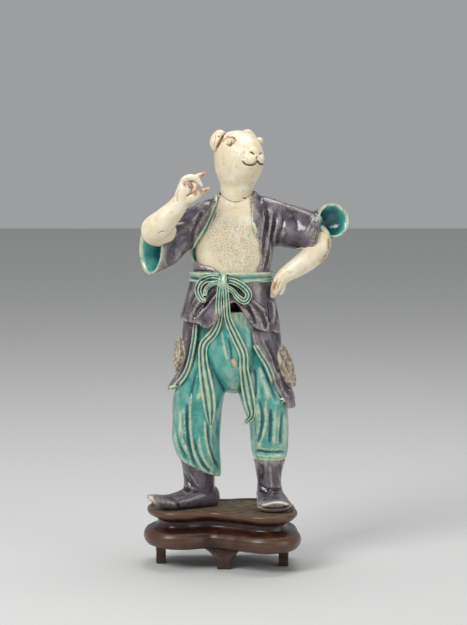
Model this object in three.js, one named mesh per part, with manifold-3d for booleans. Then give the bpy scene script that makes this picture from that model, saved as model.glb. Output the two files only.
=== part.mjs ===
// A standing figure with a rabbit's head, of porcelain with aubergine and turquoise glazes, on a lobed
// hardwood stand. Millimetres, +Z up. The figure faces -Y, and +X is its left hand's side.
// The figure is one fired piece, fused from its modelled forms. The stand is one carved block under it.
import * as THREE from "three";
import { mergeVertices } from "three/addons/utils/BufferGeometryUtils.js";
import Module from "manifold-3d";

const wasm = await Module();
wasm.setup();

// Driving dimensions
const FOOT_Z = -3; // underside of the stand's feet
const STAND_TOP = 33.5;
const RECESS_Z = 32; // the sunk top of the stand, which the boots rest on
const WAIST_Z = 177;
const NECK_Z = 230;
const MIDDLE_X = 5.5; // the trunk stands this far to the left of the stand's middle
const HEAD_TURN = THREE.MathUtils.degToRad(34); // the head looks to its own left
const CLOTH = 3; // thickness of a free edge of the robe
const CHEST_SUNK = 2.6; // the bare chest lies this far under the robe's face
const PIPING = 1.5; // radius of the rounded edge of the robe's opening
const SNOUT = 4; // how far the snout stands out of the round of the head
const SNOUT_Z = 249.5;

const TAU = 2 * Math.PI;
const deg = THREE.MathUtils.degToRad;
const vec = (p) => new THREE.Vector3(...p);

// Values between the rows of a table, on a smooth curve through them. t counts rows from 0.
function between(rows, t) {
  const last = rows.length - 1;
  const i = Math.min(Math.floor(t), last - 1);
  const f = t - i;
  const [a, b, c, d] = [-1, 0, 1, 2].map((k) => rows[Math.min(Math.max(i + k, 0), last)]);
  return b.map((from, k) => {
    const slopeIn = (c[k] - a[k]) / 2;
    const slopeOut = (d[k] - from) / 2;
    const gap = c[k] - from;
    const [second, third] = [3 * gap - 2 * slopeIn - slopeOut, slopeIn + slopeOut - 2 * gap];
    return from + f * slopeIn + f * f * second + f ** 3 * third;
  });
}

function closedGeometry(points, faces) {
  const geometry = new THREE.BufferGeometry();
  const flat = points.flatMap((p) => [p.x, p.y, p.z]);
  geometry.setAttribute("position", new THREE.Float32BufferAttribute(flat, 3));
  geometry.setIndex(faces);
  return geometry;
}

// A closed skin over rings of points, with a point in the middle of each end.
function skin(rings) {
  const sides = rings[0].length;
  const points = rings.flat();
  const faces = [];
  for (let r = 0; r < rings.length - 1; r++)
    for (let k = 0; k < sides; k++) {
      const [a, b] = [r * sides + k, r * sides + ((k + 1) % sides)];
      faces.push(a, b, b + sides, a, b + sides, a + sides);
    }
  const ends = [[rings[0], 0, true], [rings.at(-1), points.length - sides, false]];
  for (const [ring, first, turned] of ends) {
    const middle = ring.reduce((sum, p) => sum.add(p), new THREE.Vector3()).divideScalar(sides);
    points.push(middle);
    for (let k = 0; k < sides; k++) {
      const [a, b] = [first + k, first + ((k + 1) % sides)];
      faces.push(points.length - 1, ...(turned ? [b, a] : [a, b]));
    }
  }
  return closedGeometry(points, faces);
}

// A section is a centre and two half-axes. A single number is a level one: across for wide, back for deep.
function sectionRow({ at, wide, deep }) {
  const across = Array.isArray(wide) ? wide : [wide, 0, 0];
  const back = Array.isArray(deep) ? deep : [0, deep, 0];
  return [...at, ...across, ...back];
}

// A form lofted through sections. shape(point, angle, t, outward) may move each point of it.
function loft(sections, { sides = 14, steps = 10, shape = null } = {}) {
  const rows = sections.map(sectionRow);
  const rings = [];
  for (let s = 0; s <= steps; s++) {
    const t = (s / steps) * (rows.length - 1);
    const [cx, cy, cz, ax, ay, az, bx, by, bz] = between(rows, t);
    const ring = [];
    for (let k = 0; k < sides; k++) {
      const angle = (k / sides) * TAU;
      const [c, n] = [Math.cos(angle), Math.sin(angle)];
      const outward = new THREE.Vector3(ax * c + bx * n, ay * c + by * n, az * c + bz * n);
      const point = new THREE.Vector3(cx, cy, cz).add(outward);
      if (shape) shape(point, angle, t, outward.normalize());
      ring.push(point);
    }
    rings.push(ring);
  }
  return skin(rings);
}

// The place and the cross axes at t along stops, with one axis level where the path allows.
function frameAlong(stops, t) {
  const last = stops.length - 1;
  const ahead = vec(between(stops, Math.min(t + 0.05, last)).slice(0, 3));
  const behind = vec(between(stops, Math.max(t - 0.05, 0)).slice(0, 3));
  const along = ahead.sub(behind).normalize();
  const across = new THREE.Vector3(0, -1, 0).cross(along).normalize();
  return { along, across, up: along.clone().cross(across) };
}

// A round tube through stops [x, y, z, radius].
function tube(stops, { sides = 6, steps = 6 } = {}) {
  const rings = [];
  for (let s = 0; s <= steps; s++) {
    const t = (s / steps) * (stops.length - 1);
    const [x, y, z, radius] = between(stops, t);
    const { across, up } = frameAlong(stops, t);
    rings.push(Array.from({ length: sides }, (_, k) => {
      const angle = (k / sides) * TAU;
      return new THREE.Vector3(x, y, z)
        .addScaledVector(across, radius * Math.cos(angle))
        .addScaledVector(up, radius * Math.sin(angle));
    }));
  }
  return skin(rings);
}

// A flat ribbon through stops [x, y, z, half width], facing the front. Its section is cut by two grooves.
const GROOVED = [
  [-1, 0.2], [-0.8, 1], [-0.35, 0.2], [0, 1], [0.35, 0.2], [0.8, 1], [1, 0.2], [0.7, -1], [-0.7, -1],
];
const ROUNDED = [[-1, 0], [-0.5, 0.9], [0.5, 0.9], [1, 0], [0.6, -1], [-0.6, -1]];

function ribbon(stops, { section = ROUNDED, steps = 8, thick = 3 } = {}) {
  const front = new THREE.Vector3(0, -1, 0);
  const rings = [];
  for (let s = 0; s <= steps; s++) {
    const t = (s / steps) * (stops.length - 1);
    const [x, y, z, half] = between(stops, t);
    const { across } = frameAlong(stops, t);
    rings.push(section.map(([side, lift]) => new THREE.Vector3(x, y, z)
      .addScaledVector(across, side * half)
      .addScaledVector(front, (lift * thick) / 2)));
  }
  return skin(rings);
}

function ball(at, radii, turn = 0, wide = 8, high = 6) {
  const geometry = new THREE.SphereGeometry(1, wide, high).rotateX(Math.PI / 2);
  return geometry.scale(...radii).rotateZ(turn).translate(...at);
}

// Geometry to a solid, with its faces turned outwards.
function solid(geometry) {
  geometry.deleteAttribute("normal");
  geometry.deleteAttribute("uv");
  const merged = mergeVertices(geometry, 1e-4);
  const order = merged.index.array;
  const make = () => new wasm.Manifold(new wasm.Mesh({
    numProp: 3,
    vertProperties: new Float32Array(merged.attributes.position.array),
    triVerts: new Uint32Array(order),
  }));
  const made = make();
  if (made.volume() > 0) return made;
  for (let i = 0; i < order.length; i += 3) [order[i + 1], order[i + 2]] = [order[i + 2], order[i + 1]];
  return make();
}

// The forms joined to one solid. A loose chip where two walls cross at a grazing angle is left off.
function fuse(solids) {
  const joined = solids.reduce((all, one) => all.add(one));
  return joined.decompose().sort((a, b) => b.volume() - a.volume())[0];
}

// Folds that run round a form: count of them, how deep, how far they lean with t, and where on t they show.
const folds = ({ count, depth, lean = 0, from, to }) => (point, angle, t, outward) => {
  const begun = THREE.MathUtils.smoothstep(t, from, from + 1);
  const shown = begun * (1 - THREE.MathUtils.smoothstep(t, to - 1, to));
  point.addScaledVector(outward, -depth * shown * (0.5 + 0.5 * Math.cos(count * angle + lean * t)));
};

// The robe's body, the bare chest in its opening and the rounded edge round that

const TRUNK = [ // height, middle across, middle front to back, half width, half depth
  [168, MIDDLE_X, 0, 23.5, 13.5],
  [WAIST_Z, MIDDLE_X, 0, 25, 14.5],
  [186, 6.5, 0, 25.3, 15.8],
  [195, 6.6, 0, 26, 16.2],
  [204, 7, 0.5, 26.5, 16],
  [212, 8, 1, 26, 15],
  [219, 9, 1.5, 22, 13.5],
  [225, 9.3, 2, 16, 12],
  [NECK_Z, 9.5, 2, 11.2, 11],
];

// The opening of the robe as x and z, from the neck down the figure's right side and up its left
const OPENING = [
  [-1.8, 232], [-3.7, 224], [-6.4, 216.5], [-9.9, 208.5], [-16.2, 198.5], [-18.9, 193], [-17.6, 187.4],
  [-12.5, 185.3], [-6.4, 184], [-1.4, 180.6], [2.4, 180], [5.4, 180.8], [9.8, 178], [15.4, 176.9],
  [20, 179.3], [23.5, 186], [23.9, 193], [22.5, 199.5], [19.8, 207], [18.5, 216], [18.9, 224], [19.8, 231],
];

// The robe's face in front, at x and z
function trunkFront(x, z) {
  let i = 0;
  while (i < TRUNK.length - 2 && TRUNK[i + 1][0] < z) i++;
  const t = Math.min(i + (z - TRUNK[i][0]) / (TRUNK[i + 1][0] - TRUNK[i][0]), TRUNK.length - 1);
  const [, middle, back, wide, deep] = between(TRUNK, t);
  const across = THREE.MathUtils.clamp((x - middle) / wide, -0.97, 0.97);
  return back - deep * Math.sqrt(1 - across * across);
}

const trunkSections = (sunk) => TRUNK.map(([z, x, y, wide, deep]) => (
  { at: [x, y, z], wide: wide - sunk, deep: deep - sunk }
));

function robeBody() {
  const whole = solid(loft(trunkSections(0), {
    sides: 18, steps: 9, shape: folds({ count: 6, depth: 1.6, lean: 0.25, from: 0.4, to: 6 }),
  }));
  const outline = new THREE.Shape(OPENING.map(([x, z]) => new THREE.Vector2(x, z)));
  outline.lineTo(16, 240);
  outline.lineTo(2, 240);
  const cut = new THREE.ExtrudeGeometry(outline, { depth: 40, bevelEnabled: false });
  return whole.subtract(solid(cut.rotateX(Math.PI / 2)));
}

function chestAndPiping() {
  const chest = loft(trunkSections(CHEST_SUNK), { sides: 14, steps: 7 });
  const edge = OPENING.map(([x, z]) => [x, trunkFront(x, z) + 0.2, z, PIPING]);
  return [chest, tube(edge, { sides: 4, steps: 21 })];
}

// Head, with face and ears, set out along its own forward and side directions

const FORWARD = new THREE.Vector3(Math.sin(HEAD_TURN), -Math.cos(HEAD_TURN), 0);
const SIDE = new THREE.Vector3(Math.cos(HEAD_TURN), Math.sin(HEAD_TURN), 0);
const HEAD_AXIS = [9.8, -0.5];
const onHead = (forward, side, z) => new THREE.Vector3(...HEAD_AXIS, z)
  .addScaledVector(FORWARD, forward)
  .addScaledVector(SIDE, side)
  .toArray();

function skull() {
  const rows = [ // height, how far forward its middle is, half width, half depth
    [218, -3, 8, 8], [227, -1.8, 9.8, 9.8], [233, -1, 10.4, 10.8], [237, 0, 12.1, 12.8],
    [242, 0.4, 13.9, 15], [247, 0.6, 14.5, 16.2], [252, 0.6, 14.6, 16.4], [257, 0.2, 14, 15.4],
    [261, -0.2, 12.2, 13.2], [264.2, -0.6, 9.2, 9.8], [266.3, -0.8, 5.2, 5.6], [267.2, -0.8, 1.4, 1.5],
  ];
  const sections = rows.map(([z, forward, wide, deep]) => ({
    at: onHead(forward, 0, z),
    wide: SIDE.clone().multiplyScalar(wide).toArray(),
    deep: FORWARD.clone().multiplyScalar(-deep).toArray(),
  }));
  return loft(sections, { sides: 20, steps: 12, shape: snout });
}

// The snout, swelled out of the front of the head
function snout(point, angle, t, outward) {
  const facing = Math.max(outward.dot(FORWARD), 0) ** 5;
  const level = Math.exp(-(((point.z - SNOUT_Z) / 7) ** 2));
  point.addScaledVector(FORWARD, SNOUT * facing * level);
}

// The puffed upper lips and the eyes, one of each on both sides
const face = () => [-1, 1].flatMap((side) => [
  ball(onHead(17.8, 2.6 * side, SNOUT_Z), [3.7, 3.7, 3.4], HEAD_TURN, 10, 6),
  ball(onHead(7, 11.2 * side, 260), [2.6, 2.6, 2.4], HEAD_TURN, 8, 6),
]);

// A short drooping ear, hung from the side of the crown
function ear(side) {
  const rows = [ // out from the head's middle, down from the crown, half width front to back, half thickness
    [5.6, 3, 2, 1.4], [9.2, 0.8, 3.2, 1.7], [12.4, 3.4, 4.2, 2], [14.4, 6.6, 4.2, 2], [15.2, 9.6, 3.2, 1.8],
    [14.6, 12.4, 1.6, 1],
  ];
  const face = SIDE.clone().multiplyScalar(0.8 * side).add(new THREE.Vector3(0, 0, 0.6));
  return loft(rows.map(([out, down, half, thick]) => ({
    at: onHead(-4, side * out, 267.4 - down),
    wide: FORWARD.clone().multiplyScalar(half).toArray(),
    deep: face.clone().multiplyScalar(thick).toArray(),
  })), { sides: 8, steps: 5 });
}

// Arms, hands and sleeves. The right arm is folded up in front, the left has its hand on the hip.

function rightArm() {
  const forearm = tube([
    [-30, -4, 205, 6], [-37, -11, 204.5, 8], [-41, -16, 206.8, 8.8], [-35.2, -19.5, 213, 7.6],
    [-29.3, -21.5, 219.2, 6.3], [-25.2, -22.8, 225, 5.2], [-23.4, -23.6, 230, 5], [-22.4, -24, 234.5, 4.2],
    [-21.6, -24, 237.4, 2.2],
  ], { sides: 9, steps: 9 });
  const curledFinger = tube([
    [-24.6, -24, 233, 2.4], [-23, -25, 237.9, 2.1], [-18.6, -26.2, 239.6, 1.9], [-14.8, -26.6, 237.8, 1.7],
    [-12, -26.6, 233.8, 0.9],
  ], { sides: 5, steps: 5 });
  const pointingFinger = tube([
    [-21.5, -23, 235, 2.2], [-16, -22.6, 239.2, 1.9], [-9.5, -22, 242.4, 1.1],
  ], { sides: 5, steps: 2 });
  const thumb = tube([
    [-23, -24, 225.5, 3.6], [-17.2, -25.8, 228, 3], [-12.6, -26, 230.8, 2.1], [-7.5, -25.6, 233.1, 0.9],
  ], { sides: 5, steps: 4 });
  const bentFinger = tube([
    [-21.5, -22, 235, 1.8], [-17.2, -23.6, 235.8, 1.7], [-16.6, -24.8, 232.6, 1.6],
    [-19.4, -25, 229.6, 1.5],
  ], { sides: 4, steps: 4 });
  return [forearm, curledFinger, pointingFinger, thumb, bentFinger];
}

// A bell sleeve, turned back into itself at the mouth so that it is hollow
function rightSleeve() {
  return loft([
    { at: [4, 2, 213], wide: [0, 9, 0], deep: [0, 0, 9] },
    { at: [-9, 2, 211.5], wide: [0, 11.6, 0], deep: [0, 0, 13] },
    { at: [-21, 0.5, 206], wide: [-1, 10.8, 0], deep: [-1, 0, 13] },
    { at: [-32.5, -3.5, 199], wide: [-4.5, 9.5, 0], deep: [-2, 0, 15.6] },
    { at: [-42.6, -8, 196.5], wide: [-7.8, 8.6, 0], deep: [0.6, 0, 17.8] },
    { at: [-43.4, -9.2, 196.5], wide: [-6, 6.8, 0], deep: [0.5, 0, 15.8] },
    { at: [-35, -5, 198.4], wide: [-3.6, 6.6, 0], deep: [-1, 0, 12] },
    { at: [-28, -1.5, 202], wide: [-1, 4, 0], deep: [0, 0, 6] },
  ], { sides: 15, steps: 10, shape: folds({ count: 5, depth: 1.8, lean: 0.6, from: 1, to: 4.6 }) });
}

function leftArm() {
  const forearm = tube([
    [56, 3, 205, 6.5], [60, 0, 201, 6.8], [59, -3.5, 194.4, 7.2], [53, -6.4, 188.4, 6.8],
    [45.8, -8.6, 183.3, 6], [38.6, -9.4, 178.6, 4.8], [34.2, -10.2, 173.6, 3.7], [31.9, -10.8, 168.6, 2.7],
    [30.5, -11, 164.8, 1.2],
  ], { sides: 9, steps: 9 });
  const lastFinger = tube([
    [37, -8, 176, 3], [36.4, -8.6, 170, 2.2], [35.4, -9, 166.4, 1.2],
  ], { sides: 5, steps: 3 });
  return [forearm, lastFinger];
}

function leftSleeve() {
  return loft([
    { at: [12, 1.5, 214], wide: [0, 8, 0], deep: [1, 0, 9] },
    { at: [24, 1.5, 210.6], wide: [0, 11.2, 0], deep: [2, 0, 16.4] },
    { at: [36, 1.5, 209], wide: [0, 12, 0], deep: [1.5, 0, 14.4] },
    { at: [46, 1, 206.8], wide: [1, 11.4, 0], deep: [2, 0, 13.2] },
    { at: [54.5, -0.5, 204.4], wide: [2, 12, 0], deep: [2.5, 0, 12.6] },
    { at: [59.4, -2, 203.4], wide: [2.5, 10.6, 0], deep: [1.5, 0, 10.8] },
    { at: [60.6, -2, 203.2], wide: [1, 5, 0], deep: [0.5, 0, 5] },
  ], { sides: 12, steps: 9, shape: folds({ count: 4, depth: 2, lean: 0.9, from: 0.6, to: 5.4 }) });
}

// The turned-up mouth of the left sleeve, a deep hollow that shows its lining
function leftCuff() {
  return loft([
    { at: [47, 3, 206], wide: [1, 8, 0], deep: [0, 0, 9] },
    { at: [55, 5, 206.6], wide: [3, 8.4, 0], deep: [0, 1, 10] },
    { at: [62.6, 4.4, 208.8], wide: [8, 7, 0], deep: [-1, 1.6, 10.4] },
    { at: [68, 0.6, 211.6], wide: [10.1, 5.4, 0], deep: [-1, 2, 10.8] },
    { at: [68.4, -0.8, 211.6], wide: [8.6, 4.4, 0], deep: [-0.8, 1.8, 9.2] },
    { at: [65, 2, 210], wide: [6.4, 4.2, 0], deep: [-0.8, 1.4, 7.2] },
    { at: [60.5, 4.6, 208], wide: [3, 3, 0], deep: [0, 0.5, 4] },
  ], { sides: 12, steps: 9 });
}

// Trousers

function trousers() {
  const seat = loft([
    { at: [5.2, 0, 156], wide: 20, deep: 15 }, { at: [5.2, -0.5, 144], wide: 21, deep: 16.4 },
    { at: [5.2, -1.6, 130], wide: 20, deep: 16.4 }, { at: [5.6, -1.6, 118], wide: 14.6, deep: 15.4 },
    { at: [6.4, -0.6, 109.4], wide: 9.4, deep: 12 }, { at: [6.8, 0, 104.4], wide: 3.6, deep: 6 },
  ], { sides: 12, steps: 6 });
  const rightLeg = loft([
    { at: [-4, 0, 150], wide: 14, deep: 11 }, { at: [-7, 0, 130], wide: 15, deep: 12.8 },
    { at: [-11.4, -0.5, 113], wide: 15.8, deep: 13.4 }, { at: [-15.2, -1.2, 100], wide: 16, deep: 13.8 },
    { at: [-16.3, -1, 86], wide: 15.6, deep: 13.6 }, { at: [-17, 0, 74], wide: [15.4, 0, -1], deep: 13 },
    { at: [-15.8, 1, 64], wide: [14.8, 0, -4], deep: 12 },
    { at: [-14.6, 2, 58], wide: [13.4, 0, -6], deep: 10.8 },
    { at: [-14.4, 2, 56.6], wide: [10, 0, -4.6], deep: 8 },
  ], { sides: 15, steps: 10, shape: folds({ count: 5, depth: 2, lean: 0.5, from: 2.6, to: 7 }) });
  const leftLeg = loft([
    { at: [14.5, 0, 150], wide: 14, deep: 11 }, { at: [17.6, 0, 130], wide: 15, deep: 12.8 },
    { at: [22.4, -0.4, 113], wide: 15, deep: 13.2 }, { at: [26, -0.8, 99], wide: 14.8, deep: 13 },
    { at: [28.8, -0.5, 85], wide: 12.7, deep: 12.5 }, { at: [29.2, 0, 74], wide: 12.2, deep: 12 },
    { at: [29.4, 0, 66.5], wide: 11.4, deep: 11 }, { at: [29.4, 0, 62.6], wide: 9.6, deep: 9.4 },
    { at: [29.4, 0, 62], wide: 6, deep: 6 },
  ], { sides: 15, steps: 10, shape: folds({ count: 5, depth: 1.9, lean: 0.3, from: 2.6, to: 7 }) });
  return [seat, rightLeg, leftLeg];
}

// Boots with turned-up toes, flat under the sole

const flatSole = (point) => {
  point.z = Math.max(point.z, RECESS_Z);
};

// A foot from the heel along a direction: reach, height of its middle, half width, half height
function foot(heel, along, rows) {
  const across = [-along[1], along[0]];
  const sections = rows.map(([reach, z, half, high]) => ({
    at: [heel[0] + along[0] * reach, heel[1] + along[1] * reach, z],
    wide: [across[0] * half, across[1] * half, 0],
    deep: [0, 0, high],
  }));
  return loft(sections, { sides: 10, steps: 8, shape: flatSole });
}

function boots() {
  const shaftOptions = { sides: 10, steps: 4, shape: flatSole };
  const rightShaft = loft([
    { at: [-16.3, 2, 61.4], wide: [11.8, 0, -5.4], deep: 10.2 },
    { at: [-15.2, 2.4, 55.6], wide: [10.4, 0, -3], deep: 9.2 },
    { at: [-14.6, 3, 48.6], wide: [9.8, 0, -1], deep: 8.6 },
    { at: [-14.6, 3.4, 42], wide: [9.8, 1, 0], deep: 8.6 },
    { at: [-14.8, 3.4, 35], wide: [9, 2, 0], deep: 7 },
  ], shaftOptions);
  const leftShaft = loft([
    { at: [29.3, 0, 62.4], wide: 10, deep: 9.8 }, { at: [29, 0, 58], wide: 8.9, deep: 9 },
    { at: [29, 0.4, 50], wide: 7.5, deep: 8.2 }, { at: [29.3, 1, 42], wide: 7.9, deep: 9 },
    { at: [29.4, 1, 35], wide: 7.6, deep: 8.6 },
  ], shaftOptions);
  const rightFoot = foot([-3.6, 10], [-0.87, -0.49], [
    [0, 38, 3.5, 3.5], [2, 38, 6.6, 6.4], [9, 39.6, 8.4, 8.2], [18, 38.6, 8.8, 7], [27, 37, 8.2, 5.4],
    [36, 36.6, 7.2, 4.8], [43, 38.6, 5.8, 3.6], [47.6, 40.4, 3.6, 2], [48.6, 40.8, 1.8, 1],
  ]);
  const leftFoot = foot([28, 14], [0.13, -0.99], [
    [0, 38, 4, 3.6], [2, 38, 6.8, 6.2], [9, 39.6, 8.4, 8], [18, 38.4, 9, 6.8], [26, 37, 10.4, 5.2],
    [31, 36.6, 10.8, 4.6], [34.6, 37.2, 10, 3.6], [37, 37.6, 7.6, 2], [37.6, 37.8, 4, 1],
  ]);
  return [rightShaft, leftShaft, rightFoot, leftFoot];
}

// The skirts of the robe. A hem is given as angle round it, from the figure's left, and height.

const LONG_HEM = [
  [0, 98.6], [30, 101], [60, 104], [90, 106], [150, 107], [180, 107], [210, 106], [250, 106], [300, 97],
  [335, 95.8], [360, 98.6],
];
const SHORT_HEM = [
  [0, 146], [60, 145], [120, 147], [180, 151], [210, 151], [232, 150], [244, 147], [256, 152], [266, 161],
  [276, 163], [286, 156], [296, 148], [310, 145], [335, 143.5], [360, 146],
];

function hemHeight(hem, angle) {
  const a = THREE.MathUtils.radToDeg(angle);
  const i = hem.findIndex(([edge]) => edge > a) - 1;
  const share = (a - hem[i][0]) / (hem[i + 1][0] - hem[i][0]);
  return between(hem, i + share)[1];
}

// Pleats, fuller corners towards the hem, and the hem moved to its own height all round
const skirtShape = (hem, top, mean, pleats) => (point, angle, t, outward) => {
  const fullness = 3;
  pleats(point, angle, t, outward);
  const share = THREE.MathUtils.clamp((top - point.z) / (top - mean), 0, 1);
  point.addScaledVector(outward, fullness * Math.sqrt(share) * Math.sin(2 * angle) ** 2);
  point.z += share * share * (hemHeight(hem, angle) - mean);
};

// The long skirt, with the opening in front that shows the trousers
function longSkirt() {
  const [top, mean] = [152, 104];
  const pleats = folds({ count: 8, depth: 1.8, from: 0.8, to: 6 });
  const whole = loft([
    { at: [5.3, 0, top], wide: 29.4, deep: 15.4 }, { at: [5.7, 0.4, 138], wide: 31, deep: 17 },
    { at: [6.4, 0.8, 125], wide: 33, deep: 18 }, { at: [6.6, 1.4, 114], wide: 36.2, deep: 18.6 },
    { at: [5.4, 2, mean], wide: 41, deep: 19 },
    { at: [5.4, 2, mean + 2], wide: 41 - CLOTH, deep: 19 - CLOTH },
    { at: [5.4, 3, mean + 5], wide: 22, deep: 9 },
  ], { sides: 24, steps: 7, shape: skirtShape(LONG_HEM, top, mean, pleats) });
  const edges = [
    [-15, 160], [-16.3, 137], [-18.4, 123.5], [-24.5, 112.4], [-37, 105.6], [-37, 80], [46, 80], [40.4, 96],
    [33.6, 107], [28, 120], [19.6, 135], [14.6, 160],
  ];
  const [front, behind] = [40, 6];
  const outline = new THREE.Shape(edges.map(([x, z]) => new THREE.Vector2(x, z)));
  const opening = new THREE.ExtrudeGeometry(outline, { depth: front - behind, bevelEnabled: false });
  return solid(whole).subtract(solid(opening.rotateX(TAU / 4).translate(0, -behind, 0)));
}

function shortSkirt() {
  const [top, mean] = [176, 148];
  const pleats = folds({ count: 9, depth: 2.2, from: 0.6, to: 4 });
  return loft([
    { at: [MIDDLE_X, 0, top + 2], wide: 20, deep: 11 }, { at: [5.4, 0, top], wide: 25, deep: 14.6 },
    { at: [5.2, -0.4, 163], wide: 28.2, deep: 17.4 }, { at: [4.8, -0.6, mean], wide: 31.4, deep: 19.6 },
    { at: [4.8, -0.6, mean + 1], wide: 31.4 - CLOTH, deep: 19.6 - CLOTH },
    { at: [5, 0, mean + 3], wide: 16, deep: 8 },
  ], { sides: 27, steps: 5, shape: skirtShape(SHORT_HEM, top, mean, pleats) });
}

// A shallow oval dish standing out from each hip, at the robe's side slit. out is +1 on the figure's left.
function hipDish(out, [x, y, z], [halfWide, halfHigh], turn, lean) {
  const rows = [[-4, 0.62], [-0.6, 1], [0.5, 0.96], [-0.3, 0.72], [-1.2, 0.3]]; // outwards, share of size
  const outward = new THREE.Vector3(out * Math.cos(turn), -Math.sin(turn), 0);
  const along = new THREE.Vector3(Math.sin(turn), out * Math.cos(turn), 0);
  return loft(rows.map(([reach, share]) => ({
    at: [x + outward.x * reach, y + outward.y * reach, z],
    wide: along.clone().multiplyScalar(halfWide * share).toArray(),
    deep: [lean * halfHigh * share, 0, halfHigh * share],
  })), { sides: 10, steps: 4 });
}

const hipDishes = () => [
  hipDish(-1, [-28.6, -3, 128.6], [8, 11], deg(12), 0.12),
  hipDish(1, [40.6, -3, 121.6], [8, 13], deg(24), -0.3),
];

// Sash with its knot, loops and hanging ends
function sash() {
  const band = loft([
    { at: [MIDDLE_X, 0, 173.6], wide: 23, deep: 13.4 }, { at: [MIDDLE_X, 0, 174.6], wide: 26.4, deep: 16 },
    { at: [MIDDLE_X, 0, 177.2], wide: 25.4, deep: 15 }, { at: [MIDDLE_X, 0, 179.8], wide: 26.4, deep: 16 },
    { at: [MIDDLE_X, 0, 180.8], wide: 23, deep: 13.4 },
  ], { sides: 18, steps: 4 });
  const knot = ball([0.4, -17, 174.6], [3.9, 3.6, 5.4]);
  const rightLoop = ribbon([
    [-1, -17, 177, 1.6], [-7, -16, 177.4, 1.9], [-13, -13.8, 174.6, 2.1], [-15, -12.8, 169.4, 2.1],
    [-12.8, -16, 164.6, 1.7], [-10, -17, 163.8, 1.2],
  ], { thick: 3.6 });
  const rightStrand = ribbon([
    [-1, -17.4, 174.4, 1], [-6, -16.4, 174, 1.1], [-9.8, -15.2, 170.6, 1.1], [-10.6, -16, 166.4, 1],
  ], { steps: 4 });
  const leftLoop = ribbon([
    [2, -17, 176.4, 1.7], [8, -17.2, 175, 2], [13.6, -16.6, 171.2, 2.1], [16.2, -17.4, 167, 2],
    [13.6, -18.6, 163.4, 1.9], [9.6, -18.4, 165.6, 1.7], [6.6, -17.8, 169.4, 1.5], [2.6, -17, 172.4, 1.3],
  ], { steps: 11, thick: 3.4 });
  const rightEnd = ribbon([
    [-1.4, -17.6, 173, 1.7], [-2.2, -19, 162, 1.8], [-2.2, -17.8, 152, 2], [-5.6, -15.9, 143.4, 2.6],
    [-11.4, -13.6, 136, 2.7], [-12, -13.6, 127, 2.9], [-10.6, -14.8, 116, 3.9], [-8.8, -15, 105, 4.4],
    [-7.8, -14.1, 95, 3.6], [-7.4, -13.3, 87.4, 1.6], [-7.2, -13, 84, 0.5],
  ], { section: GROOVED, steps: 10 });
  const leftEnd = ribbon([
    [2, -17.6, 173, 1.7], [2.6, -19, 162, 1.9], [3.6, -18, 152, 2.3], [8.4, -18.2, 141, 2.9],
    [12.8, -18, 131, 3], [13.4, -16.6, 121, 3], [15, -13.2, 110, 3.8], [17, -12.4, 99, 3.6],
    [18, -11, 92, 2.4], [15, -8.6, 87.6, 1.6], [12.6, -8, 86, 0.5],
  ], { section: GROOVED, steps: 10 });
  return [band, knot, rightLoop, rightStrand, leftLoop, rightEnd, leftEnd];
}

function figure() {
  const modelled = [
    ...chestAndPiping(), skull(), ...face(), ear(-1), ear(1), ...rightArm(), rightSleeve(), ...leftArm(),
    leftSleeve(), leftCuff(), ...trousers(), ...boots(), shortSkirt(), ...hipDishes(), ...sash(),
  ];
  return fuse([robeBody(), longSkirt(), ...modelled.map(solid)]);
}

// Stand

// The stand's rim from above. It follows the boots: the lobe under the left boot comes further forward.
const RIM = new THREE.CatmullRomCurve3([
  [44.2, -8], [42.5, 8], [37, 19], [21, 24.5], [2, 22.4], [-16, 22], [-33, 20], [-42.5, 12], [-45.8, 0],
  [-43.5, -14], [-35, -24.4], [-22, -25.8], [-7, -22.2], [8, -29.4], [20, -37], [31, -38.6], [41, -33.4],
  [44.8, -21],
].map(([x, y]) => new THREE.Vector3(x, y, 0)), true, "centripetal");

// The rim's line at a height, moved outwards by reach
function rimRing(z, reach, sides) {
  return Array.from({ length: sides }, (_, k) => {
    const along = RIM.getTangent(k / sides);
    const place = RIM.getPoint(k / sides);
    return new THREE.Vector3(place.x + along.y * reach, place.y - along.x * reach, z);
  });
}

function stand() {
  const profile = [ // height, and how far out of the rim's line
    [9.6, -3], [10.8, 1.3], [15.6, 3.6], [19.6, 2.2], [21.8, -1.4], [22.8, -5.2], [27, -5.6], [28.2, -2.2],
    [30, 0.8], [32.2, 1.4], [STAND_TOP, 0], [STAND_TOP - 0.5, -1.4], [RECESS_Z, -1.8],
  ];
  const rings = profile.map(([z, reach]) => rimRing(z, reach, 32));
  return fuse([skin(rings), ...standFeet()].map(solid));
}

// A bracket foot under each side: an apron that narrows to a small square block
function standFeet() {
  const [blockHalf, blockTop, apronHalf, apronTop, thick] = [4.4, 4.4, 13.2, 14, 6];
  const flare = blockHalf + 3;
  const apron = new THREE.Shape();
  apron.moveTo(-blockHalf, 0);
  apron.lineTo(blockHalf, 0);
  apron.lineTo(blockHalf, blockTop);
  apron.quadraticCurveTo(flare, blockTop + 0.8, apronHalf, apronTop);
  apron.lineTo(-apronHalf, apronTop);
  apron.quadraticCurveTo(-flare, blockTop + 0.8, -blockHalf, blockTop);
  const places = [[0.9, -18.8, 0], [4, 19.6, 0], [-38.6, 0, TAU / 4], [38, -8, TAU / 4]];
  return places.map(([x, y, turn]) => new THREE.ExtrudeGeometry(apron, {
    depth: thick, bevelEnabled: false, curveSegments: 4,
  }).translate(0, 0, -thick / 2).rotateX(TAU / 4).rotateZ(turn).translate(x, y, FOOT_Z));
}

// The model

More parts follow.
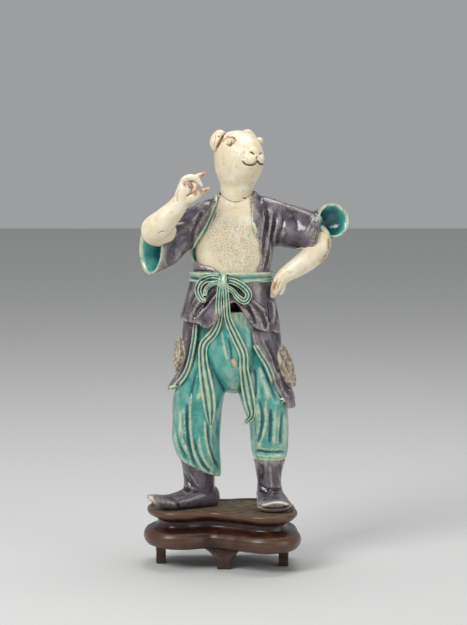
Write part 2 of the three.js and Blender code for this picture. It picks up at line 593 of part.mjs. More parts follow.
function node(name, made, material) {
  const { numProp, vertProperties, triVerts } = made.getMesh();
  const places = vertProperties.filter((_, i) => i % numProp < 3);
  const geometry = new THREE.BufferGeometry();
  geometry.setAttribute("position", new THREE.BufferAttribute(Float32Array.from(places), 3));
  geometry.setIndex(new THREE.BufferAttribute(triVerts, 1));
  geometry.computeVertexNormals();
  const mesh = new THREE.Mesh(geometry, new THREE.MeshStandardMaterial(material));
  mesh.name = name;
  return mesh;
}

const group = new THREE.Group();
group.add(
  node("porcelain_figure", figure(), { color: 0x4f9a8d, roughness: 0.3, metalness: 0 }),
  node("wooden_stand", stand(), { color: 0x3a1d18, roughness: 0.35, metalness: 0 }),
);

// The origin lies under the middle of the whole model, at the feet of the stand.
const box = new THREE.Box3().setFromObject(group);
group.position.set(-(box.min.x + box.max.x) / 2, -(box.min.y + box.max.y) / 2, -box.min.z);

export default group;
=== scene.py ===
# %% [markdown]
# # A porcelain figure on its wooden stand
# The real object is a figure about 24 cm tall, pressed and modelled in white clay, painted with coloured
# glazes and fired. It stands on a small carved stand of dark hardwood. This file dresses the plain CAD
# model with the surface that the eye sees: folds, ribbons, fingers, glaze and polish.

# %% The frame
import math

import bmesh
import bpy
import numpy as np
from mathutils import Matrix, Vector
from mathutils.bvhtree import BVHTree
from mathutils.kdtree import KDTree


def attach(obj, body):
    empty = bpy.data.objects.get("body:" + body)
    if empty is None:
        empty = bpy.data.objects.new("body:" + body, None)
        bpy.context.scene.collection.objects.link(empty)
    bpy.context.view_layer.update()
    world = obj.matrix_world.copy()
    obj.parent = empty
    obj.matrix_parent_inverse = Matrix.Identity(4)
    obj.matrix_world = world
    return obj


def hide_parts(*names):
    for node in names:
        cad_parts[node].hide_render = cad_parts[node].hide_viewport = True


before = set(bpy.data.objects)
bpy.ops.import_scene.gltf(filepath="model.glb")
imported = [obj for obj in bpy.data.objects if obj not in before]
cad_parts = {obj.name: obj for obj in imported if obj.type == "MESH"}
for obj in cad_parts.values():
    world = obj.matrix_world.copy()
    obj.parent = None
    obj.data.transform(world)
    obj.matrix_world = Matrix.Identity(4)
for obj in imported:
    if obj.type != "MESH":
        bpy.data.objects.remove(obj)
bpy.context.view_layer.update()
bpy.ops.object.select_all(action="DESELECT")

# %% [markdown]
# The tables below are in millimetres, measured from the middle of the stand as the maker would set it on
# the bench. One constant moves them to the row's frame, which starts under the middle of the whole object.

# %% Units and places
MM = 0.001
BENCH = np.array([-13.65, 7.24, 3.0])  # from the bench's zero to the row's zero, in mm
RECESS_Z = 32.0  # the sunk top of the stand, which the boots rest on
STAND_TOP = 33.5
FOOT_Z = -3.0
MIDDLE_X = 5.5
HEAD_TURN = math.radians(34)
FORWARD = np.array([math.sin(HEAD_TURN), -math.cos(HEAD_TURN), 0.0])
SIDE = np.array([math.cos(HEAD_TURN), math.sin(HEAD_TURN), 0.0])
UP = np.array([0.0, 0.0, 1.0])


def read(obj):
    """The places of a mesh's vertices, in bench millimetres."""
    flat = np.empty(len(obj.data.vertices) * 3, np.float32)
    obj.data.vertices.foreach_get("co", flat)
    return flat.reshape(-1, 3).astype(float) / MM - BENCH


def place(obj, points):
    """Puts the vertices of a mesh at places given in bench millimetres."""
    obj.data.vertices.foreach_set("co", ((points + BENCH) * MM).astype(np.float32).ravel())
    obj.data.update()


# %% [markdown]
# ## Camera
# The camera stands at the photograph's height and distance. Its lens follows from the size of the figure
# in the picture: 0.62 mm to a pixel at 1.5 m. The folds further down are marked in pixels of that
# picture, so one function says where the camera sees a point.

# %% Camera
PICTURE = (467, 625)
DISTANCE = 1500.0
TILT = math.radians(6)
MM_PER_PIXEL = 0.62
TARGET = np.array([6.8, 0.0, 154.5])
BACK = np.array([0.0, -math.cos(TILT), math.sin(TILT)])  # from the target to the camera
ABOVE = np.array([0.0, math.sin(TILT), math.cos(TILT)])  # up in the picture
EYE = TARGET + DISTANCE * BACK

bpy.ops.object.camera_add(location=(EYE + BENCH) * MM, rotation=(math.pi / 2 - TILT, 0, 0))
camera = bpy.context.object
camera.data.sensor_fit = "AUTO"
camera.data.sensor_width = 36
camera.data.lens = camera.data.sensor_width * DISTANCE / (MM_PER_PIXEL * max(PICTURE))
camera.data.clip_start = 0.1
camera.data.clip_end = 20
bpy.context.scene.camera = camera
print("lens", round(camera.data.lens, 1), "mm")


def seen(points):
    """Pixel places of points in the picture, and how directly each direction to the camera runs."""
    ray = points - EYE
    far = -ray @ BACK
    across = PICTURE[0] / 2 + ray[:, 0] * DISTANCE / (MM_PER_PIXEL * far)
    down = PICTURE[1] / 2 - (ray @ ABOVE) * DISTANCE / (MM_PER_PIXEL * far)
    return np.stack([across, down], 1)


# %% [markdown]
# ## Tools for modelling
# Every limb and garment starts as a grid that is rolled round a row of oval sections, as a maker rolls a
# slab of clay round a core. The sections come from short tables, with a smooth curve between their rows.

# %% Rolled forms
def between(rows, t):
    """Rows of a table at positions t, on a smooth curve through them. t counts rows from 0."""
    rows = np.asarray(rows, float)
    last = len(rows) - 1
    t = np.asarray(t, float)
    i = np.clip(np.floor(t).astype(int), 0, last - 1)
    f = (t - i)[:, None]
    a, b, c, d = (rows[np.clip(i + k, 0, last)] for k in (-1, 0, 1, 2))
    slope_in, slope_out, gap = (c - a) / 2, (d - b) / 2, c - b
    bend = f**2 * (3 * gap - 2 * slope_in - slope_out) + f**3 * (slope_in + slope_out - 2 * gap)
    return b + f * slope_in + bend


def rolled(name, rings):
    """A closed form from rings of points, shaped (rows, points round a row, 3)."""
    rows, sides = rings.shape[:2]
    bpy.ops.mesh.primitive_grid_add(x_subdivisions=sides, y_subdivisions=rows - 1, size=1)
    form = bpy.context.object
    form.name = name
    place(form, np.concatenate([rings, rings[:, :1]], 1).reshape(-1, 3))
    bpy.ops.object.mode_set(mode="EDIT")
    bpy.ops.mesh.select_all(action="SELECT")
    bpy.ops.mesh.remove_doubles(threshold=0.002 * MM)
    bpy.ops.mesh.fill_holes(sides=0)
    bpy.ops.mesh.normals_make_consistent(inside=False)
    bpy.ops.object.mode_set(mode="OBJECT")
    form.matrix_world.identity()
    return form


def section(at, wide, deep):
    """A table row: the middle of an oval section and its two half-axes. A number means a level axis."""
    across = list(wide) if np.ndim(wide) else [wide, 0, 0]
    back = list(deep) if np.ndim(deep) else [0, deep, 0]
    return [*at, *across, *back]


def oval_rings(rows, sides, steps, shape=None):
    """Rings of points through oval sections. shape(points, angle, t, outward) may return moved points."""
    t = np.linspace(0, len(rows) - 1, steps + 1)
    table = between([section(*row) for row in rows], t)
    angle = np.linspace(0, math.tau, sides, endpoint=False)
    middle, wide, deep = table[:, None, :3], table[:, None, 3:6], table[:, None, 6:]
    outward = wide * np.cos(angle)[None, :, None] + deep * np.sin(angle)[None, :, None]
    points = middle + outward
    if shape:
        outward = outward / np.linalg.norm(outward, axis=2, keepdims=True)
        points = shape(points, angle[None, :], t[:, None], outward)
    return points


def loft(name, rows, sides=72, steps=72, shape=None):
    return rolled(name, oval_rings(rows, sides, steps, shape))


def along(stops, count):
    """Places, sizes and cross axes at even steps along a path of stops [x, y, z, size]."""
    t = np.linspace(0, len(stops) - 1, count)
    table = between(stops, t)
    ahead = np.gradient(table[:, :3], axis=0)
    ahead /= np.linalg.norm(ahead, axis=1, keepdims=True)
    across = np.cross([0.0, -1.0, 0.0], ahead)
    across /= np.linalg.norm(across, axis=1, keepdims=True)
    return table, across, np.cross(ahead, across)


def tube(name, stops, sides=20, count=40):
    """A round limb or roll through stops [x, y, z, radius], rounded off at its far end."""
    table, across, above = along(stops, count)
    angle = np.linspace(0, math.tau, sides, endpoint=False)[None, :, None]
    radius = table[:, 3, None, None]
    rings = table[:, None, :3] + radius * (np.cos(angle) * across[:, None] + np.sin(angle) * above[:, None])
    return rolled(name, rings)


def ribbon(name, stops, outline, thick, count=60):
    """A flat strip through stops [x, y, z, half width], with an outline of (across, lift) from -1 to 1."""
    table, across, _ = along(stops, count)
    outline = np.asarray(outline, float)
    out = outline[None, :, 0, None] * table[:, 3, None, None] * across[:, None]
    lift = outline[None, :, 1, None] * thick / 2 * np.array([0.0, -1.0, 0.0])
    return rolled(name, table[:, None, :3] + out + lift)


def ball(name, at, radii, turn=0.0):
    """A pressed ball of clay: its middle and three radii, turned about the upright."""
    bpy.ops.mesh.primitive_uv_sphere_add(segments=32, ring_count=20, radius=1)
    form = bpy.context.object
    form.name = name
    places = np.empty(len(form.data.vertices) * 3, np.float32)
    form.data.vertices.foreach_get("co", places)
    x, y, z = (places.reshape(-1, 3) * np.asarray(radii)).T
    turned = [x * math.cos(turn) - y * math.sin(turn), x * math.sin(turn) + y * math.cos(turn), z]
    place(form, np.stack(turned, 1) + np.asarray(at))
    return form


# %% [markdown]
# Clay forms that are pressed together become one skin. In Blender that is a join and a voxel remesh. The
# fine mesh that it leaves is then smoothed a little, as a wet brush would, and folds are cut into it.

# %% One skin from many forms
def only(*objects):
    """Selects just these objects and makes the first one active."""
    bpy.ops.object.select_all(action="DESELECT")
    for obj in objects:
        obj.select_set(True)
    bpy.context.view_layer.objects.active = objects[0]


def apply(obj, kind, **settings):
    """Adds a modifier with its settings and applies it."""
    only(obj)
    bpy.ops.object.modifier_add(type=kind)
    modifier = obj.modifiers[-1]
    for key, value in settings.items():
        setattr(modifier, key, value)
    bpy.ops.object.modifier_apply(modifier=modifier.name)


def pressed(name, forms, grain, brushed=3):
    """The forms as one skin of that name, with a mesh as fine as grain in millimetres."""
    only(*forms)
    if len(forms) > 1:
        bpy.ops.object.join()
    piece = bpy.context.object
    piece.name = name
    piece.data.name = name
    apply(piece, "REMESH", mode="VOXEL", voxel_size=grain * MM, adaptivity=0)
    apply(piece, "SMOOTH", factor=0.5, iterations=brushed)
    return piece


def less(form, cutter):
    """The form with the cutter's volume taken out."""
    apply(form, "BOOLEAN", operation="DIFFERENCE", solver="EXACT", object=cutter)
    only(cutter)
    bpy.ops.object.delete()
    return form


def slab(name, outline, front, back):
    """A block between two depths, with an outline of (x, z) as seen from the front."""
    bpy.ops.mesh.primitive_circle_add(vertices=len(outline), fill_type="NGON")
    block = bpy.context.object
    block.name = name
    flat = np.array([[x, front, z] for x, z in outline], float)
    place(block, flat)
    bpy.ops.object.mode_set(mode="EDIT")
    bpy.ops.mesh.select_all(action="SELECT")
    bpy.ops.mesh.extrude_region_move(TRANSFORM_OT_translate={"value": (0, (back - front) * MM, 0)})
    bpy.ops.mesh.select_all(action="SELECT")
    bpy.ops.mesh.normals_make_consistent(inside=False)
    bpy.ops.object.mode_set(mode="OBJECT")
    return block


# %% [markdown]
# Folds, creases and small marks are cut with strokes. A stroke is a line of pixels in the picture, a
# width and a depth in millimetres. Vertices near it, on the side that the camera sees, sink along their
# normals. A negative depth raises a ridge. The back has no picture, so its strokes are given as x and z.

# %% Strokes
def normals(obj):
    flat = np.empty(len(obj.data.vertices) * 3, np.float32)
    obj.data.vertex_normals.foreach_get("vector", flat)
    return flat.reshape(-1, 3).astype(float)


def distance_to(line, spots):
    """Distance of each spot to a line of points, and how far along the line its nearest point is."""
    line = np.asarray(line, float)
    lengths = np.linalg.norm(np.diff(line, axis=0), axis=1)
    whole = lengths.sum()
    best = np.full(len(spots), np.inf)
    share = np.zeros(len(spots))
    start = 0.0
    for (a, b), length in zip(zip(line[:-1], line[1:]), lengths):
        f = np.clip((spots - a) @ (b - a) / max(length * length, 1e-9), 0, 1)
        gap = np.linalg.norm(spots - a - f[:, None] * (b - a), axis=1)
        nearer = gap < best
        best[nearer] = gap[nearer]
        share[nearer] = (start + f[nearer] * length) / max(whole, 1e-9)
        start += length
    return best, share


def smooth_line(line, parts=4):
    """A marked line with a smooth curve through its points."""
    count = (len(line) - 1) * parts + 1
    return between(line, np.linspace(0, len(line) - 1, count)) if len(line) > 2 else np.asarray(line, float)


def carve(obj, strokes, behind=False):
    """Cuts strokes (depth, half width, points) into the side that is seen, or into the back."""
    points, facing = read(obj), normals(obj)
    if behind:
        spots, scale, shown = points[:, [0, 2]], 1.0, np.clip(facing[:, 1] * 2, 0, 1)
    else:
        spots, scale, shown = seen(points), MM_PER_PIXEL, np.clip(facing @ BACK * 4, 0, 1)
    moved = np.zeros(len(points))
    for depth, half, line in strokes:
        line = smooth_line(line)
        reach = 3 * half / scale
        low, high = line.min(0) - reach, line.max(0) + reach
        near = np.all((spots > low) & (spots < high), axis=1) & (shown > 0)
        gap, share = distance_to(line, spots[near])
        ends = np.clip(np.minimum(share, 1 - share) * 5, 0, 1) ** 0.7 if len(line) > 1 else 1.0
        moved[near] -= depth * ends * np.exp(-((gap * scale / half) ** 2))
    place(obj, points + facing * (moved * shown)[:, None])
    return obj


def painted(obj, name, strokes):
    """Stores how far each seen point is covered by strokes (half width, soft edge, points)."""
    points = read(obj)
    spots, shown = seen(points), np.clip(normals(obj) @ BACK * 4, 0, 1)
    cover = np.zeros(len(points))
    for half, soft, line in strokes:
        line = smooth_line(line)
        reach = (half + soft) / MM_PER_PIXEL
        near = np.all((spots > line.min(0) - reach) & (spots < line.max(0) + reach), axis=1)
        gap, _ = distance_to(line, spots[near])
        cover[near] = np.maximum(cover[near], np.clip((half + soft - gap * MM_PER_PIXEL) / soft, 0, 1))
    store(obj, name, cover * shown)


def store(obj, name, values):
    layer = obj.data.attributes.get(name) or obj.data.attributes.new(name, "FLOAT", "POINT")
    layer.data.foreach_set("value", np.asarray(values, np.float32))


def thinned(obj, ratio):
    """Drops triangles where the skin is nearly flat, down to a share of them."""
    apply(obj, "DECIMATE", ratio=ratio)
    return obj


def lumpy(obj, height, size):
    """Leaves the slight unevenness of hand work: height and size of the lumps in millimetres."""
    points, facing = read(obj), normals(obj)
    bumps = np.zeros(len(points))
    for k in range(9):
        turn = np.array([math.sin(2.1 * k + 0.4), math.cos(3.7 * k), math.sin(5.3 * k + 1.9)])
        turn /= np.linalg.norm(turn)
        bumps += np.sin(points @ turn * math.tau / (size * (0.7 + 0.15 * k)) + 1.3 * k)
    place(obj, points + facing * (bumps * height / 4)[:, None])
    return obj


# %% [markdown]
# Glaze runs off ridges and pools in hollows, so it is pale on one and dark in the other. Each piece gets
# an attribute that says how far a point stands out of its surroundings or lies in them. The materials
# read it.

# %% Relief as an attribute
def edges_of(obj):
    flat = np.empty(len(obj.data.edges) * 2, np.int32)
    obj.data.edges.foreach_get("vertices", flat)
    return flat.reshape(-1, 2)


def spread(values, edges, times):
    """Averages each value with its neighbours' values, again and again."""
    count = np.bincount(edges.ravel(), minlength=len(values)).astype(float)
    for _ in range(times):
        total = [
            np.bincount(edges[:, 0], v[edges[:, 1]], len(v)) + np.bincount(edges[:, 1], v[edges[:, 0]], len(v))
            for v in values.T
        ]
        values = np.stack(total, 1) / count[:, None]
    return values


def mark_relief(obj, fine=8, broad=60):
    """Stores how far each point stands out of the smoothed form, in millimetres, at two scales."""
    points, facing, edges = read(obj), normals(obj), edges_of(obj)
    first = spread(points, edges, fine)
    second = spread(first, edges, broad - fine)
    store(obj, "fine_relief", ((points - first) * facing).sum(1))
    store(obj, "broad_relief", ((points - second) * facing).sum(1))
    for name in ("fine_relief", "broad_relief"):
        flat = np.empty(len(points), np.float32)
        obj.data.attributes[name].data.foreach_get("value", flat)
        print(obj.name, name, "mm at 5, 50 and 95 percent:", np.percentile(flat, [5, 50, 95]).round(3))


# %% [markdown]
# Edgings and strips are laid onto a finished skin. Their line is marked in the picture, and a ray from the
# camera finds the place on the skin under each mark.

# %% Strips laid on a skin
def ray_to(marks):
    """Starts and directions of the rays from the camera through pixels of the picture."""
    marks = np.asarray(marks, float)
    across = (marks[:, 0] - PICTURE[0] / 2) * MM_PER_PIXEL / DISTANCE
    down = (marks[:, 1] - PICTURE[1] / 2) * MM_PER_PIXEL / DISTANCE
    ray = -BACK + across[:, None] * np.array([1.0, 0, 0]) - down[:, None] * ABOVE
    return ray / np.linalg.norm(ray, axis=1, keepdims=True)


def skin_tree(obj):
    return BVHTree.FromPolygons(read(obj).tolist(), [tuple(p.vertices) for p in obj.data.polygons])


def laid(name, tree, marks, outline, thick, lift=0.0, parts=8):
    """A strip on a skin through marks (across, down, half width), with its face turned outwards."""
    marks = smooth_line(marks, parts)
    places, faces = [], []
    for ray in ray_to(marks[:, :2]):
        spot, face, _, _ = tree.ray_cast(Vector(EYE), Vector(ray))
        if spot is None:
            spot, face, _, _ = tree.find_nearest(Vector(EYE + ray * (DISTANCE - 12) ))
        places.append(spot)
        faces.append(face)
    places, faces = np.array(places), np.array(faces)
    for _ in range(6):
        places[1:-1] = (places[:-2] + 2 * places[1:-1] + places[2:]) / 4
        faces[1:-1] = (faces[:-2] + 2 * faces[1:-1] + faces[2:]) / 4
    faces /= np.linalg.norm(faces, axis=1, keepdims=True)
    ahead = np.gradient(places, axis=0)
    ahead /= np.linalg.norm(ahead, axis=1, keepdims=True)
    across = np.cross(faces, ahead)
    across /= np.linalg.norm(across, axis=1, keepdims=True)
    outline = np.asarray(outline, float)
    out = outline[None, :, 0, None] * marks[:, 2, None, None] * across[:, None]
    up = (outline[None, :, 1, None] * thick / 2 + lift) * faces[:, None]
    return rolled(name, places[:, None] + out + up)


# %% [markdown]
# ## Bare clay: head, chest and arms
# The head, neck, chest and hands carry only a thin clear glaze over the cream body. They are the parts
# that the eye goes to first, so their mesh is the finest. The head is an egg that looks 34 degrees to its
# own left. A soft snout swells out of it, with two puffed lips under the nose.

# %% Head and neck
HEAD_AXIS = np.array([9.8, -0.5, 0.0])
SNOUT = 4.0
SNOUT_Z = 249.5


def on_head(forward, side, z):
    return HEAD_AXIS + forward * FORWARD + side * SIDE + z * UP


HEAD = [  # height, how far forward its middle is, half width, half depth
    (218, -3, 8, 8), (227, -1.8, 9.8, 9.8), (233, -1, 10.4, 10.8), (237, 0, 12.1, 12.8),
    (242, 0.4, 13.9, 15), (247, 0.6, 14.5, 16.2), (252, 0.6, 14.6, 16.4), (257, 0.2, 14, 15.4),
    (261, -0.2, 12.2, 13.2), (264.2, -0.6, 9.2, 9.8), (266.3, -0.8, 5.2, 5.6), (267.2, -0.8, 1.4, 1.5),
]


def with_snout(points, angle, t, outward):
    facing = np.clip(outward @ FORWARD, 0, 1) ** 5
    level = np.exp(-(((points[..., 2] - SNOUT_Z) / 7) ** 2))
    return points + (SNOUT * facing * level)[..., None] * FORWARD


head = loft(
    "head",
    [(on_head(forward, 0, z), wide * SIDE, -deep * FORWARD) for z, forward, wide, deep in HEAD],
    sides=120, steps=150, shape=with_snout,
)
lips = [
    ball("near_lip", on_head(17.8, -2.3, SNOUT_Z + 0.2), (4.2, 4.1, 3.6), HEAD_TURN),
    ball("far_lip", on_head(17.4, 3, SNOUT_Z + 0.4), (3.9, 3.8, 3.5), HEAD_TURN),
]
nose = ball("nose", on_head(15.6, 0, 253.6), (4.6, 4.2, 4), HEAD_TURN)
eyes = [ball("eye", on_head(7.6, 10.7 * side, 260.8), (2.3, 2.3, 2.2), HEAD_TURN) for side in (-1, 1)]
EAR = [  # out from the head's middle, down from the crown, half width front to back, half thickness
    (5.6, 3, 2, 1.4), (9.2, 0.8, 3.2, 1.7), (12.4, 3.4, 4.2, 2), (14.4, 6.6, 4.2, 2),
    (15.2, 9.6, 3.2, 1.8), (14.6, 12.4, 1.6, 1),
]
ears = [
    loft(
        "ear",
        [
            (on_head(-5, side * out, 267.4 - down), half * FORWARD, thick * (0.8 * side * SIDE + 0.6 * UP))
            for out, down, half, thick in EAR
        ],
        sides=40, steps=40,
    )
    for side in (-1, 1)
]
print("head forms:", 1 + len(lips) + 1 + len(eyes) + len(ears))

# %% Chest
TRUNK = [  # height, middle across, middle front to back, half width, half depth
    (168, MIDDLE_X, 0, 23.5, 13.5), (177, MIDDLE_X, 0, 25, 14.5), (186, 6.5, 0, 25.3, 15.8),
    (195, 6.6, 0, 26, 16.2), (204, 7, 0.5, 26.5, 16), (212, 8, 1, 26, 15), (219, 9, 1.5, 22, 13.5),
    (225, 9.3, 2, 16, 12), (230, 9.5, 2, 11.2, 11),
]
CHEST_SUNK = 2.6


def trunk_rows(sunk):
    return [((x, y, z), wide - sunk, deep - sunk) for z, x, y, wide, deep in TRUNK]


chest = loft("chest", trunk_rows(CHEST_SUNK), sides=120, steps=90)

# %% Arms and hands
right_arm = [
    tube("right_forearm", [
        (-30, -4, 205, 6), (-37, -11, 204.5, 8), (-41, -16, 206.8, 8.8), (-35.2, -19.5, 213, 7.6),
        (-29.3, -21.5, 219.2, 6.3), (-25.2, -22.8, 225, 5.2), (-23.4, -23.6, 230, 5),
        (-22.4, -24, 234.5, 4.2), (-21.6, -24, 237.4, 2.2),
    ], sides=48, count=90),
    tube("curled_finger", [
        (-24.6, -24, 233, 2.4), (-23, -25, 237.9, 2.1), (-18.6, -26.2, 239.6, 1.9),
        (-14.8, -26.6, 237.8, 1.6), (-12, -26.6, 233.8, 0.7),
    ]),
    tube("pointing_finger", [(-21.5, -23, 235, 2.2), (-16, -22.6, 239.2, 1.9), (-9.5, -22, 242.4, 0.8)]),
    tube("thumb", [
        (-23, -24, 225.5, 3.6), (-17.2, -25.8, 228, 2.9), (-12.6, -26, 230.8, 1.9), (-7.5, -25.6, 233.1, 0.6),
    ]),
    tube("bent_finger", [
        (-21.5, -22, 235, 1.8), (-17.2, -23.6, 235.8, 1.7), (-16.6, -24.8, 232.6, 1.5), (-19.4, -25, 229.6, 1.3),
    ]),
]
left_arm = [
    tube("left_forearm", [
        (56, 3, 205, 6.5), (60, 0, 201, 6.8), (59, -3.5, 194.4, 7.2), (53, -6.4, 188.4, 6.8),
        (45.8, -8.6, 183.3, 6), (38.6, -9.4, 178.6, 4.8), (34.2, -10.2, 173.6, 3.7),
        (31.9, -10.8, 168.6, 2.5), (30.5, -11, 164.8, 1),
    ], sides=48, count=90),
    tube("last_finger", [(37, -8, 176, 3), (36.4, -8.6, 170, 2.2), (35.4, -9, 166.4, 1)]),
]
bare = pressed("bare_clay", [head, nose, chest, *lips, *eyes, *ears, *right_arm, *left_arm], grain=0.36)
print("bare clay:", len(bare.data.polygons), "faces")

# %% [markdown]
# The face is cut into the soft clay with a pointed tool: a ring round each eye, a crease for the brow, slits for
# the nostrils and one line for the mouth. The mouth, the nostrils and a few other small cuts are then painted
# dark brown, a painted shade in the cuts.

# %% The face
FACE = [  # depth, half width, points in the picture
    (0.8, 0.5, [(225.7, 142.8), (227, 139.6), (229.6, 139), (231.6, 141), (231.4, 143.6), (229.6, 145.4), (227, 145), (225.7, 142.8)]),
    (0.7, 0.5, [(223.6, 140.4), (226, 137.6), (229.6, 136.8), (233.6, 137.8), (236, 140)]),
    (1.1, 0.5, [(250.2, 152), (252, 152.6), (254, 154.4)]),
    (0.8, 0.45, [(259.6, 154.2), (260.8, 153.4), (262, 152.6)]),
    (1.3, 0.55, [(242.6, 161.2), (244.8, 163.9), (248.6, 165.5), (253.4, 164.9), (256.3, 162.4), (257.4, 160.6)]),
    (1.2, 0.5, [(257.4, 160.6), (259.4, 163.6), (262, 164.6), (264, 163.4)]),
    (0.8, 0.6, [(257.2, 155.6), (257.3, 158.4), (257.4, 161)]),
    (0.5, 1.4, [(245.4, 150.6), (243.6, 155), (243.4, 159.6)]),
    (1.6, 0.8, [(218.5, 136.1), (218.9, 136.5)]),
    (0.7, 0.7, [(216, 132.6), (214.6, 137.4), (213.6, 143), (213.8, 147.6)]),
    (0.6, 0.6, [(220.6, 131.4), (222.6, 135.4), (221.4, 140.6), (218.4, 145.2), (215.8, 149)]),
    (0.4, 0.8, [(222, 146), (221.6, 156), (224, 168)]),
    (0.8, 0.4, [(243.4, 198), (246.2, 198.6)]),
]
HANDS = [
    (0.5, 0.5, [(179, 190), (176.4, 196), (177.6, 203)]),
    (0.6, 0.5, [(186, 196.6), (190.6, 193.6), (195, 192)]),
    (0.5, 0.6, [(158.4, 234.6), (160.6, 232.4), (165, 231.4)]),
    (0.6, 0.5, [(277.6, 278), (275.4, 284), (273.4, 292)]),
    (0.5, 0.5, [(281, 281), (278.6, 286), (277, 291)]),
    (0.4, 0.6, [(274, 272), (279, 268.6), (285, 266)]),
]
carve(bare, FACE + HANDS)
thinned(bare, 0.5)
lumpy(bare, 0.1, 9)
mark_relief(bare, fine=8, broad=70)
SHADED_CUTS = [  # half width, soft edge, points: small cuts painted dark brown, a painted shade
    (0.15, 0.5, [(242.6, 161.2), (244.8, 163.9), (248.6, 165.5), (253.4, 164.9), (256.3, 162.4), (257.4, 160.6)]),
    (0.15, 0.5, [(257.4, 160.6), (259.4, 163.6), (262, 164.6), (264, 163.4)]),
    (0.1, 0.5, [(250.2, 152), (252, 152.6), (254, 154.4)]),
    (0.05, 0.4, [(259.6, 154.2), (260.8, 153.4), (262, 152.6)]),
    (0.1, 0.4, [(218.5, 136.1), (218.9, 136.5)]),
    (0.1, 0.4, [(243.4, 198), (246.2, 198.6)]),
]
TOASTED = [  # where the clay fired to a rusty brown
    (1.0, 1.6, [(194, 193), (200, 190.6), (207, 189), (210, 187.6)]),
    (0.8, 1.4, [(185, 184), (190, 186), (196, 189)]),
    (0.6, 1.0, [(201, 176), (206, 172.8)]),
    (0.3, 0.9, [(223.6, 140.6), (226.2, 137.8), (229.6, 136.9), (233.6, 137.8), (236, 140.2)]),
    (0.3, 0.9, [(231.8, 139.4), (232.4, 142.6), (231, 145.4)]),
    (0.6, 1.6, [(275, 284), (273, 291), (272, 297)]),
    (0.4, 1.8, [(276, 268), (281, 261), (290, 256)]),
    (0.3, 1.2, [(193.5, 250), (194, 262), (204, 268), (214, 271)]),
    (0.3, 1.2, [(251, 200), (253, 220), (256, 236)]),
    (0.3, 1.4, [(329, 240), (328, 252), (321, 261)]),
]
PEPPERED = [  # the lower chest, where kiln ash left grey specks
    (6, 5, [(222, 240), (240, 246)]),
    (4, 6, [(216, 222), (228, 228), (244, 238), (246, 262)]),
    (3, 5, [(216, 236), (228, 262), (244, 266)]),
]
painted(bare, "cut_shade", SHADED_CUTS)
painted(bare, "toasted", TOASTED)
painted(bare, "peppered", PEPPERED)

# %% [markdown]
# ## The robe
# The robe hangs open over the chest. It was laid on as slabs of clay, so its edges are thick and its
# folds are soft. The opening is cut out of the whole trunk with a block of its own outline.

# %% Trunk of the robe
OPENING = [  # x and z, from the neck down the figure's right side and up its left
    (-1.8, 232), (-3.7, 224), (-6.4, 216.5), (-9.9, 208.5), (-16.2, 198.5), (-18.9, 193), (-17.6, 187.4),
    (-12.5, 185.3), (-6.4, 184), (-1.4, 180.6), (2.4, 180), (5.4, 180.8), (9.8, 178), (15.4, 176.9),
    (20, 179.3), (23.5, 186), (23.9, 193), (22.5, 199.5), (19.8, 207), (18.5, 216), (18.9, 224), (19.8, 231),
]


def folds(count, depth, lean, begin, end):
    """Soft folds that run along a form, between two places on it."""

    def shape(points, angle, t, outward):
        shown = np.clip(t - begin, 0, 1) * np.clip(end - t, 0, 1)
        wave = 0.5 + 0.5 * np.cos(count * angle + lean * t + 0.4 * np.sin(2 * angle))
        return points - (depth * shown * wave)[..., None] * outward

    return shape


trunk = loft("robe_trunk", trunk_rows(0), sides=120, steps=90, shape=folds(6, 1.2, 0.25, 0.4, 6))
trunk = less(trunk, slab("opening", smooth_line(OPENING).tolist() + [(16, 240), (2, 240)], -40, 0))

# %% Sleeves
RIGHT_SLEEVE = [
    ((4, 2, 213), (0, 9, 0), (0, 0, 9)),
    ((-9, 2, 211.5), (0, 11.6, 0), (0, 0, 13)),
    ((-21, 0.5, 206), (-1, 10.8, 0), (-1, 0, 13)),
    ((-32.5, -3.5, 199), (-4.5, 9.5, 0), (-2, 0, 15.6)),
    ((-42.6, -8, 196.5), (-7.8, 8.6, 0), (0.6, 0, 17.8)),
    ((-43.4, -9.2, 196.5), (-6, 6.8, 0), (0.5, 0, 15.8)),
    ((-35, -5, 198.4), (-3.6, 6.6, 0), (-1, 0, 12)),
    ((-28, -1.5, 202), (-1, 4, 0), (0, 0, 6)),
]
right_sleeve = loft("right_sleeve", RIGHT_SLEEVE, sides=120, steps=120, shape=folds(5, 1.2, 0.6, 1, 4))
left_sleeve = loft("left_sleeve", [
    ((12, 1.5, 214), (0, 8, 0), (1, 0, 9)),
    ((24, 1.5, 210.6), (0, 11.2, 0), (2, 0, 16.4)),
    ((36, 1.5, 209), (0, 12, 0), (1.5, 0, 14.4)),
    ((46, 1, 206.8), (1, 11.4, 0), (2, 0, 13.2)),
    ((54.5, -0.5, 204.4), (2, 12, 0), (2.5, 0, 12.6)),
    ((59.4, -2, 203.4), (2.5, 10.6, 0), (1.5, 0, 10.8)),
    ((60.6, -2, 203.2), (1, 5, 0), (0.5, 0, 5)),
], sides=120, steps=100, shape=folds(4, 1.2, 0.9, 0.6, 5))
LEFT_CUFF = [
    ((47, 3, 206), (1, 8, 0), (0, 0, 9)),
    ((55, 5, 206.6), (3, 8.4, 0), (0, 1, 10)),
    ((62.6, 4.4, 208.8), (8, 7, 0), (-1, 1.6, 10.4)),
    ((68, 0.6, 211.6), (10.1, 5.4, 0), (-1, 2, 10.8)),
    ((68.4, -0.8, 211.6), (8.6, 4.4, 0), (-0.8, 1.8, 9.2)),
    ((65, 2, 210), (6.4, 4.2, 0), (-0.8, 1.4, 7.2)),
    ((60.5, 4.6, 208), (3, 3, 0), (0, 0.5, 4)),
]
cuff = loft("left_cuff", LEFT_CUFF, sides=100, steps=100)
print("sleeves and cuff rolled")

# %% [markdown]
# The skirts are rolled too. Their hems rise and fall, so a short table gives the height of each hem round
# the figure, and pleats deepen towards it.

